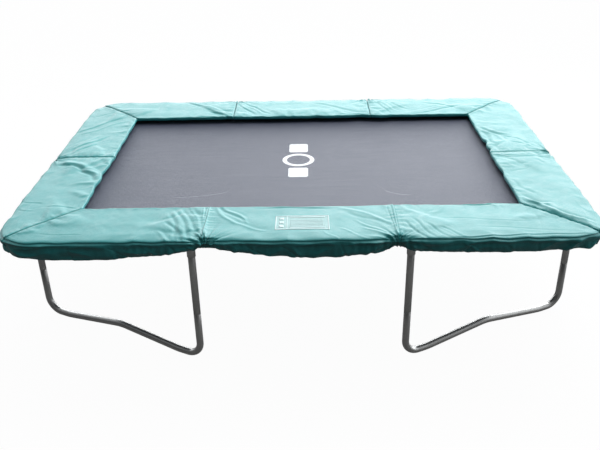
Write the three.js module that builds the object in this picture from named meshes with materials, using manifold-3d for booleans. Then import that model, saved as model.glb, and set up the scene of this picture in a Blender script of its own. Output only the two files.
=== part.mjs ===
// A rectangular garden trampoline: a jointed tube frame on four W-shaped legs, a woven bed hung on
// springs, and a ring of foam pads with a skirt. Millimetres, +Z up, X along the length. The origin
// is on the ground under the middle of the bed. Front is -Y and left is -X.
import * as THREE from "three";
import { mergeVertices } from "three/addons/utils/BufferGeometryUtils.js";
import Module from "manifold-3d";

const wasm = await Module();
wasm.setup();

// Frame
const frameLength = 3060; // over the end rails
const frameWidth = 2110; // over the side rails
const railHeight = 711; // centre line of the rails
const tubeDiameter = 38; // rails and legs
const tubeWall = 1.5;
const railBend = 170; // centre line of the corner bends
const spigotLength = 60; // what one tube goes into the next
const clearance = 0.3; // around anything that fits in or rests on another piece

// Legs
const socketFromSeam = 65; // the inner sockets stand just outside the pad seams
const outerSocketY = 568; // from the middle of the end rails
const socketWall = 2.7;
const socketLength = 52; // below the rail
const shoulderHeight = 294; // where the uprights sit on the leg base
const footBend = 85; // centre line of the bends down to the ground
const footFlat = 60; // straight run that lies on the ground beside each bend
const barRise = 50; // middle of the bar over its feet
const barBend = 300; // the shallow bends in the bar

// Screws
const screwRadius = 2.75;
const screwHeadRadius = 6.5;
const screwHeadHeight = 4;
const screwTipReach = 4; // past the inner wall

// Bed and springs
const bedThickness = 3;
const bedCorner = 45;
const springPitch = 97;
const springRadius = 10;
const springShell = 1; // a shell round each coil, with the coil's own weight
const springLength = 193; // from the webbing to the rail, with its ring and hook
const hemWidth = 18; // webbing that the rings are sewn into
const hemThickness = 2;
const ringInHem = 3; // how far a ring reaches into the webbing
const rowMargin = 60; // from the bed's corner to the first spring

// Pads
const padWidth = 372;
const padThickness = 27;
const padOverEnds = 10; // past the end rails
const padOverSides = 33; // past the side rails
const padCornerSpare = 11; // corner radius over that of the rail's outside
const padSeamX = 485; // seams between the pads of the long sides
const padGap = 0.6; // between two pads
const skirtThickness = 4;
const skirtDrop = 93; // below the pad
const strapWidth = 25;
const strapThickness = 1.5;

// Worked out
const tubeRadius = tubeDiameter / 2;
const boreRadius = tubeRadius - tubeWall;
const spigotRadius = boreRadius - clearance;
const railX = frameLength / 2 - tubeRadius;
const railY = frameWidth / 2 - tubeRadius;
const innerSocketX = padSeamX + socketFromSeam;
const railJointX = padSeamX - spigotLength - strapWidth;
const padBottom = railHeight + tubeRadius + strapThickness + 5 * clearance;
const padOuterX = frameLength / 2 + padOverEnds;
const padOuterY = frameWidth / 2 + padOverSides;
const padInnerX = padOuterX - padWidth;
const padInnerY = padOuterY - padWidth;
const springReach = clearance + hemWidth + springLength;
const bedX = railX - tubeRadius - clearance - springReach;
const bedY = railY - tubeRadius - clearance - springReach;
const socketRadius = tubeRadius + clearance + socketWall;
const socketBottom = railHeight - tubeRadius - socketLength;
const socketTop = railHeight - springRadius - 2 * clearance;
const socketRoof = railHeight - tubeRadius - clearance;
const uprightTop = socketRoof - clearance;
const innerPost = new THREE.Vector2(innerSocketX, railY);
const outerPost = new THREE.Vector2(railX, outerSocketY);
const legTurn = Math.atan2(outerPost.y - innerPost.y, outerPost.x - innerPost.x);
const legLength = innerPost.distanceTo(outerPost);

const tubeSides = 8;
const smallSides = 6;
const bendSteps = 4;
const padCornerSteps = 6;
const past = 1; // how far a cut runs past what it cuts

const steel = new THREE.MeshStandardMaterial({ color: 0x8f9296, roughness: 0.38, metalness: 0.95 });
const zinc = new THREE.MeshStandardMaterial({ color: 0xc4c6c8, roughness: 0.3, metalness: 1 });
const wire = new THREE.MeshStandardMaterial({ color: 0xa8abad, roughness: 0.35, metalness: 1 });
const mesh = new THREE.MeshStandardMaterial({ color: 0x4a4b55, roughness: 0.7, metalness: 0 });
const cover = new THREE.MeshStandardMaterial({ color: 0x4f9c98, roughness: 0.45, metalness: 0 });
const webbing = new THREE.MeshStandardMaterial({ color: 0x1d1f20, roughness: 0.85, metalness: 0 });

// Solids and geometries

function solidOf(geometry) {
  const source = geometry.index ? geometry.toNonIndexed() : geometry;
  const bare = new THREE.BufferGeometry();
  bare.setAttribute("position", source.getAttribute("position"));
  const merged = mergeVertices(bare, 1e-3);
  const vertProperties = merged.getAttribute("position").array;
  const triVerts = new Uint32Array(merged.index.array);
  return new wasm.Manifold(new wasm.Mesh({ numProp: 3, vertProperties, triVerts }));
}

function geometryOf(solid) {
  const surface = solid.getMesh();
  const geometry = new THREE.BufferGeometry();
  const points = new Float32Array(surface.vertProperties);
  geometry.setAttribute("position", new THREE.BufferAttribute(points, 3));
  geometry.setIndex(Array.from(surface.triVerts));
  geometry.computeVertexNormals();
  return geometry;
}

// Turns a closed [radius, height] profile about Y. The flats of the polygon lie at the given radii.
function turned(profile, sides) {
  const widen = 1 / Math.cos(Math.PI / sides);
  const points = profile.map(([radius, height]) => new THREE.Vector2(radius * widen, height));
  return new THREE.LatheGeometry(points, sides, Math.PI / sides);
}

// A tube about Y between two heights.
function straightTube(outer, inner, low, high, sides) {
  const profile = [[outer, low], [outer, high], [inner, high], [inner, low], [outer, low]];
  return turned(profile, sides);
}

function rod(radius, low, high, sides) {
  return turned([[0, low], [radius, low], [radius, high], [0, high]], sides);
}

// The same pieces about Z.
function upright(geometry) {
  return geometry.rotateX(Math.PI / 2);
}

function tubeSection(radius) {
  const reach = radius / Math.cos(Math.PI / tubeSides);
  const points = [];
  for (let i = 0; i < tubeSides; i++) {
    const angle = ((i + 0.5) * 2 * Math.PI) / tubeSides;
    points.push(new THREE.Vector2(reach * Math.cos(angle), reach * Math.sin(angle)));
  }
  return new THREE.Shape(points);
}

// A centre line of straight runs and round bends, with a station only where the tube turns.
class BentRoute extends THREE.Curve {
  constructor(corners, bends) {
    super();
    const first = corners[0];
    const last = corners[corners.length - 1];
    this.stations = [{ point: first, along: corners[1].clone().sub(first).normalize() }];
    for (const [index, { radius, steps }] of bends.entries()) {
      this.addBend(corners[index], corners[index + 1], corners[index + 2], radius, steps);
    }
    const end = last.clone().sub(corners[corners.length - 2]).normalize();
    this.stations.push({ point: last, along: end });
  }

  addBend(before, corner, after, radius, steps) {
    const arriving = corner.clone().sub(before).normalize();
    const leaving = after.clone().sub(corner).normalize();
    const turn = arriving.angleTo(leaving);
    const inward = leaving.clone().addScaledVector(arriving, -Math.cos(turn)).normalize();
    const start = corner.clone().addScaledVector(arriving, -radius * Math.tan(turn / 2));
    const centre = start.clone().addScaledVector(inward, radius);
    for (let i = 0; i <= steps; i++) {
      const angle = (turn * i) / steps;
      const point = centre.clone();
      point.addScaledVector(inward, -radius * Math.cos(angle));
      point.addScaledVector(arriving, radius * Math.sin(angle));
      const along = arriving.clone().multiplyScalar(Math.cos(angle));
      along.addScaledVector(inward, Math.sin(angle));
      this.stations.push({ point, along });
    }
  }

  spans() {
    return this.stations.length - 1;
  }

  getPoint(t) {
    return this.between(t, "point");
  }

  getPointAt(t) {
    return this.between(t, "point");
  }

  getTangentAt(t) {
    return this.between(t, "along").normalize();
  }

  between(t, what) {
    const place = t * this.spans();
    const index = Math.min(Math.floor(place), this.spans() - 1);
    return this.stations[index][what].clone().lerp(this.stations[index + 1][what], place - index);
  }
}

function sweep(corners, bends, radius) {
  const route = new BentRoute(corners, bends);
  const options = { steps: route.spans(), extrudePath: route };
  return solidOf(new THREE.ExtrudeGeometry(tubeSection(radius), options));
}

// Moves both ends of a route outward along it, or inward where the distance is negative.
function lengthened(corners, distance) {
  const moved = corners.map((corner) => corner.clone());
  const count = moved.length;
  const startWay = corners[0].clone().sub(corners[1]).normalize();
  const endWay = corners[count - 1].clone().sub(corners[count - 2]).normalize();
  moved[0].addScaledVector(startWay, distance);
  moved[count - 1].addScaledVector(endWay, distance);
  return moved;
}

function roundedRectangle(halfX, halfY, radius, Outline) {
  const outline = new Outline();
  const x = halfX - radius;
  const y = halfY - radius;
  outline.absarc(x, y, radius, 0, Math.PI / 2);
  outline.absarc(-x, y, radius, Math.PI / 2, Math.PI);
  outline.absarc(-x, -y, radius, Math.PI, 1.5 * Math.PI);
  outline.absarc(x, -y, radius, 1.5 * Math.PI, 2 * Math.PI);
  return outline;
}

function slab(shape, low, high) {
  const options = { depth: high - low, bevelEnabled: false, curveSegments: padCornerSteps };
  return new THREE.ExtrudeGeometry(shape, options).translate(0, 0, low);
}

function polygonPrism(points, low, high) {
  return solidOf(slab(new THREE.Shape(points.map(([x, y]) => new THREE.Vector2(x, y))), low, high));
}

// Screws

// A screw along Y with the underside of its head at 0 and its tip on the positive side.
function screwGeometry(length) {
  const profile = [
    [0, -screwHeadHeight],
    [screwHeadRadius, -screwHeadHeight],
    [screwHeadRadius, 0],
    [screwRadius, 0],
    [screwRadius, length],
    [0, length],
  ];
  return turned(profile, smallSides);
}

function screwHole(length) {
  return rod(screwRadius + clearance, -screwHeadHeight, length, smallSides);
}

const socketScrewLength = socketWall + tubeWall + 2 * clearance + screwTipReach;
const railScrewLength = 2 * tubeWall + 2 * clearance + screwTipReach;
const socketScrewZ = (socketBottom + socketRoof) / 2;

// In a leg's own frame, X runs along its bar from the inner post. The socket screws point away from
// the bed, so their heads face under it.
function placeSocketScrew(geometry, along) {
  return geometry.translate(along, -socketRadius - clearance, socketScrewZ);
}

// Rail screws go up into the underside of the rail.
function placeRailScrew(geometry, x, y) {
  return upright(geometry).translate(x, y, railHeight - tubeRadius - clearance);
}

// From a leg's frame to the frame of its corner.
function intoCorner(geometry) {
  return geometry.rotateZ(legTurn).translate(innerPost.x, innerPost.y, 0);
}

// Frame

function cornerRail() {
  const start = new THREE.Vector3(railJointX + clearance, railY, railHeight);
  const corner = new THREE.Vector3(railX, railY, railHeight);
  const end = new THREE.Vector3(railX, clearance, railHeight);
  const route = [start, corner, end];
  const bends = [{ radius: railBend, steps: bendSteps }];
  let rail = sweep(route, bends, tubeRadius);
  for (const along of [0, legLength]) {
    const socket = rod(socketRadius, socketBottom, socketTop, tubeSides);
    rail = rail.add(solidOf(intoCorner(upright(socket).translate(along, 0, 0))));
  }
  rail = rail.subtract(sweep(lengthened(route, past), bends, boreRadius));
  for (const along of [0, legLength]) {
    const bore = rod(tubeRadius + clearance, socketBottom - past, socketRoof, tubeSides);
    rail = rail.subtract(solidOf(intoCorner(upright(bore).translate(along, 0, 0))));
    const hole = placeSocketScrew(screwHole(socketScrewLength), along);
    rail = rail.subtract(solidOf(intoCorner(hole)));
  }
  const holes = [
    [railJointX + spigotLength / 2, railY],
    [railX, spigotLength / 2],
  ];
  for (const [x, y] of holes) {
    rail = rail.subtract(solidOf(placeRailScrew(screwHole(railScrewLength), x, y)));
  }
  return geometryOf(rail);
}

// A long rail's middle, necked at both ends to go into the corner rails.
function middleRail() {
  const joint = railJointX;
  const tip = railJointX + spigotLength;
  const neckBore = spigotRadius - tubeWall;
  const profile = [
    [boreRadius, -joint + tubeWall],
    [neckBore, -joint],
    [neckBore, -tip],
    [spigotRadius, -tip],
    [spigotRadius, -joint],
    [tubeRadius, -joint],
    [tubeRadius, joint],
    [spigotRadius, joint],
    [spigotRadius, tip],
    [neckBore, tip],
    [neckBore, joint],
    [boreRadius, joint - tubeWall],
    [boreRadius, -joint + tubeWall],
  ];
  let rail = solidOf(turned(profile, tubeSides).rotateZ(-Math.PI / 2).translate(0, railY, railHeight));
  for (const side of [-1, 1]) {
    const x = side * (railJointX + spigotLength / 2);
    rail = rail.subtract(solidOf(placeRailScrew(screwHole(railScrewLength), x, railY)));
  }
  return geometryOf(rail);
}

// A short tube inside both corner rails of an end.
function railSleeve() {
  const tube = straightTube(spigotRadius, spigotRadius - tubeWall, -spigotLength, spigotLength, tubeSides);
  let sleeve = solidOf(tube.translate(railX, 0, railHeight));
  for (const side of [-1, 1]) {
    const y = (side * spigotLength) / 2;
    sleeve = sleeve.subtract(solidOf(placeRailScrew(screwHole(railScrewLength), railX, y)));
  }
  return geometryOf(sleeve);
}

// Legs

function legUpright(along) {
  const tube = straightTube(tubeRadius, boreRadius, shoulderHeight + clearance, uprightTop, tubeSides);
  const solid = solidOf(upright(tube).translate(along, 0, 0));
  const hole = solidOf(placeSocketScrew(screwHole(socketScrewLength), along));
  return intoCorner(geometryOf(solid.subtract(hole)));
}

function legBase() {
  const low = tubeRadius;
  const footEnd = footBend + footFlat;
  const at = (x, z) => new THREE.Vector3(x, 0, z);
  const route = [
    at(0, shoulderHeight),
    at(0, low),
    at(footEnd, low),
    at(legLength / 2, low + barRise),
    at(legLength - footEnd, low),
    at(legLength, low),
    at(legLength, shoulderHeight),
  ];
  const foot = { radius: footBend, steps: bendSteps };
  const shallow = { radius: barBend, steps: 1 };
  const apex = { radius: barBend, steps: 2 };
  const bends = [foot, shallow, apex, shallow, foot];
  const neckTop = shoulderHeight + spigotLength;
  const neckBore = spigotRadius - tubeWall;
  let base = sweep(route, bends, tubeRadius);
  for (const along of [0, legLength]) {
    const neck = rod(spigotRadius, shoulderHeight - tubeWall, neckTop, tubeSides);
    base = base.add(solidOf(upright(neck).translate(along, 0, 0)));
  }
  base = base.subtract(sweep(lengthened(route, -tubeWall), bends, boreRadius));
  for (const along of [0, legLength]) {
    const bore = rod(neckBore, shoulderHeight - 2 * tubeWall, neckTop + past, tubeSides);
    base = base.subtract(solidOf(upright(bore).translate(along, 0, 0)));
  }
  return intoCorner(geometryOf(base));
}

// Bed and springs

function bedSheet() {
  const outline = roundedRectangle(bedX, bedY, bedCorner, THREE.Shape);
  return slab(outline, railHeight - bedThickness / 2, railHeight + bedThickness / 2);
}

// One side's springs, joined by the webbing that their rings are sewn into. X runs along the side and
// the rail is on the positive side of Y.
function springRow(halfBed, edge) {
  const count = Math.floor((2 * halfBed - 2 * rowMargin) / springPitch) + 1;
  const reach = ((count - 1) * springPitch) / 2;
  const hemStart = edge + clearance;
  const hemEnd = hemStart + hemWidth;
  const hemLength = 2 * reach + 2 * hemWidth;
  const hem = new THREE.BoxGeometry(hemLength, hemWidth, hemThickness);
  let row = solidOf(hem.translate(0, (hemStart + hemEnd) / 2, railHeight));
  const inner = springRadius - springShell;
  for (let i = 0; i < count; i++) {
    const x = i * springPitch - reach;
    const shell = straightTube(springRadius, inner, hemEnd - ringInHem, hemEnd + springLength, smallSides);
    row = row.add(solidOf(shell.translate(x, 0, railHeight)));
  }
  return geometryOf(row);
}

// Pads

// The whole ring of pads and skirt, before it is cut into lengths.
function padRing() {
  const corner = railBend + tubeRadius + padCornerSpare;
  const top = roundedRectangle(padOuterX, padOuterY, corner, THREE.Shape);
  const opening = new THREE.Path();
  opening.moveTo(-padInnerX, -padInnerY);
  opening.lineTo(padInnerX, -padInnerY);
  opening.lineTo(padInnerX, padInnerY);
  opening.lineTo(-padInnerX, padInnerY);
  opening.closePath();
  top.holes.push(opening);
  const band = roundedRectangle(padOuterX, padOuterY, corner, THREE.Shape);
  const innerX = padOuterX - skirtThickness;
  const innerY = padOuterY - skirtThickness;
  band.holes.push(roundedRectangle(innerX, innerY, corner - skirtThickness, THREE.Path));
  const foam = solidOf(slab(top, padBottom, padBottom + padThickness));
  const skirt = solidOf(slab(band, padBottom - skirtDrop, padBottom + padThickness / 2));
  return foam.add(skirt);
}

const ring = padRing();

function cutPad(points) {
  const low = padBottom - skirtDrop - past;
  return geometryOf(ring.intersect(polygonPrism(points, low, padBottom + padThickness + past)));
}

function middlePad() {
  const end = padSeamX - padGap / 2;
  const inner = padInnerY - past;
  const outer = padOuterY + past;
  return cutPad([[-end, inner], [end, inner], [end, outer], [-end, outer]]);
}

// The pads at a corner meet on a line at 45 degrees from the corner of the opening.
const mitreGap = padGap / Math.SQRT2;

function sidePad() {
  const start = padSeamX + padGap / 2;
  const inner = padInnerY - past;
  const outer = padOuterY + past;
  const mitre = (y) => padInnerX + (y - padInnerY) - mitreGap;
  return cutPad([[start, inner], [mitre(inner), inner], [mitre(outer), outer], [start, outer]]);
}

function endPad() {
  const start = padGap / 2;
  const inner = padInnerX - past;
  const outer = padOuterX + past;
  const mitre = (x) => padInnerY + (x - padInnerX) - mitreGap;
  return cutPad([[inner, start], [outer, start], [outer, mitre(outer)], [inner, mitre(inner)]]);
}

// A tie of webbing round the rail under a pad seam.
function padStrap() {
  const inner = tubeRadius + clearance;
  const half = strapWidth / 2;
  const loop = straightTube(inner + strapThickness, inner, -half, half, tubeSides);
  return loop.rotateZ(Math.PI / 2).translate(padSeamX, railY, railHeight);
}

// Assembly

function piece(name, geometry, material) {
  const item = new THREE.Mesh(geometry, material);
  item.name = name;
  return item;
}

const cornerPieces = [
  ["rail_corner", cornerRail(), steel],
  ["leg_base", legBase(), steel],
  ["leg_upright_inner", legUpright(0), steel],
  ["leg_upright_outer", legUpright(legLength), steel],
  ["pad_side", sidePad(), cover],
  ["pad_end", endPad(), cover],
  ["pad_strap", padStrap(), webbing],
];
for (const [end, along] of [["inner", 0], ["outer", legLength]]) {
  const screw = intoCorner(placeSocketScrew(screwGeometry(socketScrewLength), along));
  cornerPieces.push([`socket_screw_${end}`, screw, zinc]);
}
const sideScrew = screwGeometry(railScrewLength);
const endScrew = screwGeometry(railScrewLength);
placeRailScrew(sideScrew, railJointX + spigotLength / 2, railY);
placeRailScrew(endScrew, railX, spigotLength / 2);
cornerPieces.push(["rail_screw_side", sideScrew, zinc]);
cornerPieces.push(["rail_screw_end", endScrew, zinc]);

const trampoline = new THREE.Group();
for (const [side, turnY] of [["front", -1], ["back", 1]]) {
  for (const [hand, turnX] of [["left", -1], ["right", 1]]) {
    const corner = new THREE.Group();
    corner.scale.set(turnX, turnY, 1);
    for (const [name, geometry, material] of cornerPieces) {
      corner.add(piece(`${name}_${side}_${hand}`, geometry, material));
    }
    trampoline.add(corner);
  }
}

const longSprings = springRow(bedX, bedY);
const longRail = middleRail();
const longPad = middlePad();
for (const [side, turn] of [["front", Math.PI], ["back", 0]]) {
  const half = new THREE.Group();
  half.rotation.z = turn;
  half.add(piece(`rail_middle_${side}`, longRail, steel));
  half.add(piece(`spring_row_${side}`, longSprings, wire));
  half.add(piece(`pad_middle_${side}`, longPad, cover));
  trampoline.add(half);
}

const shortSprings = springRow(bedY, bedX).rotateZ(-Math.PI / 2);
const sleeve = railSleeve();
for (const [hand, turn] of [["left", Math.PI], ["right", 0]]) {
  const half = new THREE.Group();
  half.rotation.z = turn;
  half.add(piece(`rail_sleeve_${hand}`, sleeve, zinc));
  half.add(piece(`spring_row_${hand}`, shortSprings, wire));
  trampoline.add(half);
}
trampoline.add(piece("jumping_bed", bedSheet(), mesh));

export default trampoline;
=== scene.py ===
# Looks of a rectangular garden trampoline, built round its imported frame. Metres, +Z up, front is -Y.
import math

import bmesh
import bpy
import numpy as np
from mathutils import Matrix, Vector
from mathutils.bvhtree import BVHTree


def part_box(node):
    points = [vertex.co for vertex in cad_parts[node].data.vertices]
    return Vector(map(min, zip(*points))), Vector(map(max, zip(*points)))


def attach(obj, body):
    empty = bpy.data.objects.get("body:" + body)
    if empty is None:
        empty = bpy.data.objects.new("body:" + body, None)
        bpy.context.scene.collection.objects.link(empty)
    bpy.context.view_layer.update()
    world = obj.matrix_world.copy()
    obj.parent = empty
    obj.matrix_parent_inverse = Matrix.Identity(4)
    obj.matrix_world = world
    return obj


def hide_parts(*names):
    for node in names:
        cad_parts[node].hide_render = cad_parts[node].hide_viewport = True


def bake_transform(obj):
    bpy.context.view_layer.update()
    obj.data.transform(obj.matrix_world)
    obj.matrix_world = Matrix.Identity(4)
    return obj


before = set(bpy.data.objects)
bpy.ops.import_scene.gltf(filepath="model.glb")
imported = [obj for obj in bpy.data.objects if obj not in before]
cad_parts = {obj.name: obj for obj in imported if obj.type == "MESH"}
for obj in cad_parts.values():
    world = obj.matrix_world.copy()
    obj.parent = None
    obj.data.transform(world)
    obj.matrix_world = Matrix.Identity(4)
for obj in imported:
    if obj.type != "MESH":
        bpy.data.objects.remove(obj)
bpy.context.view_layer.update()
print("frame loaded:", len(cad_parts), "parts")

# ---- camera, light and floor

cameraView = dict(
    place=(0.0425, -4.167, 2.463), pitchDown=27.84, turn=0.82, roll=-1.09, lens=43.38,
    sensor=36.0, clipEnd=300.0,
)
sky = dict(
    low=0.015, back=4.35, top=0.38, rise=2.6, heading=(0.36, 0.93), spread=2.8, ground=0.03,
    tint=(0.94, 0.965, 1.0), backdrop=1.0, horizon=0.02, haze=25.0,
)
softbox = dict(place=(1.6, 2.2, 4.6), size=(5.0, 2.4), power=150.0)
ground = dict(reach=60.0, glow=0.965, tone=0.035, bounce=0.045, gleam=0.10)


def makeCamera():
    data = bpy.data.cameras.new("camera")
    data.lens = cameraView["lens"]
    data.sensor_width = cameraView["sensor"]
    data.clip_end = cameraView["clipEnd"]
    camera = bpy.data.objects.new("camera", data)
    turn = Matrix.Rotation(math.radians(cameraView["turn"]), 4, "Z")
    tilt = Matrix.Rotation(math.radians(90 - cameraView["pitchDown"]), 4, "X")
    roll = Matrix.Rotation(math.radians(cameraView["roll"]), 4, "Z")
    camera.matrix_world = Matrix.Translation(cameraView["place"]) @ turn @ tilt @ roll
    bpy.context.scene.collection.objects.link(camera)
    bpy.context.scene.camera = camera


def addNode(tree, kind, inputs=None, **settings):
    node = tree.nodes.new(kind)
    for key, value in settings.items():
        setattr(node, key, value)
    for key, value in (inputs or {}).items():
        if isinstance(value, bpy.types.NodeSocket):
            tree.links.new(value, node.inputs[key])
        else:
            node.inputs[key].default_value = value
    return node


def maths(tree, operation, a, b=0.0, clamp=False):
    return addNode(tree, "ShaderNodeMath", {0: a, 1: b}, operation=operation, use_clamp=clamp).outputs[0]


def makeSky():
    world = bpy.data.worlds.new("sky")
    bpy.context.scene.world = world
    world.use_nodes = True
    tree = world.node_tree
    tree.nodes.clear()
    way = addNode(tree, "ShaderNodeTexCoord").outputs["Generated"]
    split = addNode(tree, "ShaderNodeSeparateXYZ", {0: way})
    x, y, z = split.outputs
    heading = Vector(sky["heading"]).normalized()
    toward = maths(tree, "ADD", maths(tree, "MULTIPLY", x, heading.x), maths(tree, "MULTIPLY", y, heading.y))
    behind = maths(tree, "MULTIPLY", maths(tree, "ADD", toward, 1.0), 0.5, clamp=True)
    behind = maths(tree, "POWER", behind, sky["spread"])
    glow = maths(tree, "ADD", maths(tree, "MULTIPLY", behind, sky["back"] - sky["low"]), sky["low"])
    above = maths(tree, "POWER", maths(tree, "MAXIMUM", z, 0.0), sky["rise"])
    rest = maths(tree, "SUBTRACT", 1.0, above)
    dome = maths(tree, "ADD", maths(tree, "MULTIPLY", glow, rest), maths(tree, "MULTIPLY", above, sky["top"]))
    over = maths(tree, "MULTIPLY", maths(tree, "ADD", z, sky["horizon"]), sky["haze"], clamp=True)
    under = maths(tree, "MULTIPLY", maths(tree, "SUBTRACT", 1.0, over), sky["ground"])
    strength = maths(tree, "ADD", maths(tree, "MULTIPLY", dome, over), under)
    light = addNode(tree, "ShaderNodeBackground", {"Color": (*sky["tint"], 1), "Strength": strength})
    plain = addNode(tree, "ShaderNodeBackground", {"Color": (1, 1, 1, 1), "Strength": sky["backdrop"]})
    seen = addNode(tree, "ShaderNodeLightPath").outputs["Is Camera Ray"]
    mix = addNode(tree, "ShaderNodeMixShader", {0: seen, 1: light.outputs[0], 2: plain.outputs[0]})
    addNode(tree, "ShaderNodeOutputWorld", {"Surface": mix.outputs[0]})


def makeSoftbox():
    data = bpy.data.lights.new("softbox", "AREA")
    data.shape = "RECTANGLE"
    data.size, data.size_y = softbox["size"]
    data.energy = softbox["power"]
    lamp = bpy.data.objects.new("softbox", data)
    place = Vector(softbox["place"])
    lamp.matrix_world = Matrix.Translation(place) @ (-place).to_track_quat("-Z", "Y").to_matrix().to_4x4()
    bpy.context.scene.collection.objects.link(lamp)


def makeGround():
    reach = ground["reach"]
    corners = [(-reach, -reach, 0), (reach, -reach, 0), (reach, reach, 0), (-reach, reach, 0)]
    data = bpy.data.meshes.new("ground")
    data.from_pydata(corners, [], [(0, 1, 2, 3)])
    floor = bpy.data.objects.new("ground", data)
    bpy.context.scene.collection.objects.link(floor)
    material = bpy.data.materials.new("studio floor")
    material.use_nodes = True
    tree = material.node_tree
    tree.nodes.clear()
    pale = addNode(tree, "ShaderNodeBsdfDiffuse", {"Color": (*[ground["tone"]] * 3, 1)})
    glow = addNode(tree, "ShaderNodeEmission", {"Color": (1, 1, 1, 1), "Strength": ground["glow"]})
    lit = addNode(tree, "ShaderNodeAddShader", {0: pale.outputs[0], 1: glow.outputs[0]})
    dull = addNode(tree, "ShaderNodeBsdfDiffuse", {"Color": (*[ground["bounce"]] * 3, 1)})
    shiny = addNode(tree, "ShaderNodeLightPath").outputs["Is Glossy Ray"]
    gleam = addNode(tree, "ShaderNodeEmission", {"Strength": maths(tree, "MULTIPLY", shiny, ground["gleam"])})
    dim = addNode(tree, "ShaderNodeAddShader", {0: dull.outputs[0], 1: gleam.outputs[0]})
    seen = addNode(tree, "ShaderNodeLightPath").outputs["Is Camera Ray"]
    mix = addNode(tree, "ShaderNodeMixShader", {0: seen, 1: dim.outputs[0], 2: lit.outputs[0]})
    clear = addNode(tree, "ShaderNodeBsdfTransparent")  # seen from below, the floor is clear
    under = addNode(tree, "ShaderNodeNewGeometry").outputs["Backfacing"]
    both = addNode(tree, "ShaderNodeMixShader", {0: under, 1: mix.outputs[0], 2: clear.outputs[0]})
    addNode(tree, "ShaderNodeOutputMaterial", {"Surface": both.outputs[0]})
    data.materials.append(material)


makeCamera()
makeSky()
makeSoftbox()
makeGround()
bpy.context.scene.view_settings.view_transform = "Standard"
print("camera, light and floor made")

# ---- finishes


def newMaterial(name, **sockets):
    material = bpy.data.materials.new(name)
    material.use_nodes = True
    shader = material.node_tree.nodes["Principled BSDF"]
    for key, value in sockets.items():
        shader.inputs[key].default_value = (*value, 1) if isinstance(value, tuple) else value
    return material, material.node_tree, shader


def noise(tree, where, scale, detail=3.0, roughness=0.5, distortion=0.0):
    inputs = {"Vector": where, "Scale": scale, "Detail": detail, "Roughness": roughness, "Distortion": distortion}
    return addNode(tree, "ShaderNodeTexNoise", inputs).outputs["Fac"]


def spread(tree, value, low, high, fromLow=0.0, fromHigh=1.0):
    inputs = {0: value, 1: fromLow, 2: fromHigh, 3: low, 4: high}
    return addNode(tree, "ShaderNodeMapRange", inputs).outputs[0]


def mixColour(tree, factor, a, b):
    node = addNode(tree, "ShaderNodeMix", data_type="RGBA")
    for socket, value in ((node.inputs[0], factor), (node.inputs[6], a), (node.inputs[7], b)):
        if isinstance(value, bpy.types.NodeSocket):
            tree.links.new(value, socket)
        else:
            socket.default_value = (*value, 1) if isinstance(value, tuple) else value
    return node.outputs[2]


def bump(tree, shader, height, depth, strength=1.0, under=None):
    inputs = {"Height": height, "Distance": depth, "Strength": strength}
    if under is not None:
        inputs["Normal"] = under
    node = addNode(tree, "ShaderNodeBump", inputs)
    tree.links.new(node.outputs[0], shader.inputs["Normal"])
    return node.outputs[0]


def place(tree, stretch=(1.0, 1.0, 1.0)):
    where = addNode(tree, "ShaderNodeTexCoord").outputs["Object"]
    return addNode(tree, "ShaderNodeMapping", {"Vector": where, "Scale": stretch}).outputs[0]


def weave(tree, where, pitch):
    # crossing threads: two sets of waves at right angles, each passing over the other in turn
    split = addNode(tree, "ShaderNodeSeparateXYZ", {0: where})
    turns = 2 * math.pi / pitch
    across = maths(tree, "SINE", maths(tree, "MULTIPLY", split.outputs[0], turns))
    along = maths(tree, "SINE", maths(tree, "MULTIPLY", split.outputs[1], turns))
    return maths(tree, "MULTIPLY", across, along)


coverFinish = dict(
    colour=(0.030, 0.352, 0.350), worn=(0.040, 0.374, 0.374), dusty=(0.026, 0.330, 0.326),
    gloss=(0.36, 0.48), weavePitch=0.0022, weaveDepth=0.00010, crinkleDepth=0.00025,
    patchScale=3.1, wornScale=42.0, glossScale=17.0, crinkleScale=14.0,
)


def coverMaterial():
    finish = coverFinish
    settings = {"Specular IOR Level": 0.62, "Coat Weight": 0.24, "Coat Roughness": 0.36, "Sheen Weight": 0.03}
    material, tree, shader = newMaterial("coated pad cover", **settings)
    where = place(tree)
    patches = noise(tree, where, finish["patchScale"], 4.0)
    colour = mixColour(tree, spread(tree, patches, 0, 1, 0.35, 0.65), finish["dusty"], finish["colour"])
    fine = noise(tree, where, finish["wornScale"], 5.0, 0.6)
    colour = mixColour(tree, spread(tree, fine, 0, 0.6, 0.4, 0.75), colour, finish["worn"])
    tree.links.new(colour, shader.inputs["Base Color"])
    gloss = noise(tree, where, finish["glossScale"], 4.0)
    tree.links.new(spread(tree, gloss, *finish["gloss"], 0.3, 0.7), shader.inputs["Roughness"])
    crinkles = noise(tree, place(tree, (1.0, 1.7, 1.0)), finish["crinkleScale"], 3.0, 0.45, 0.6)
    first = bump(tree, shader, crinkles, finish["crinkleDepth"])
    bump(tree, shader, weave(tree, where, finish["weavePitch"]), finish["weaveDepth"], under=first)
    return material


# valley is painted shade: the darker colour given to the weave's hollows between the threads
bedFinish = dict(
    thread=(0.068, 0.079, 0.125), valley=(0.029, 0.036, 0.057), gloss=(0.35, 0.43), pitch=0.0042, depth=0.00045,
    streakDepth=0.00015,
)


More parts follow.
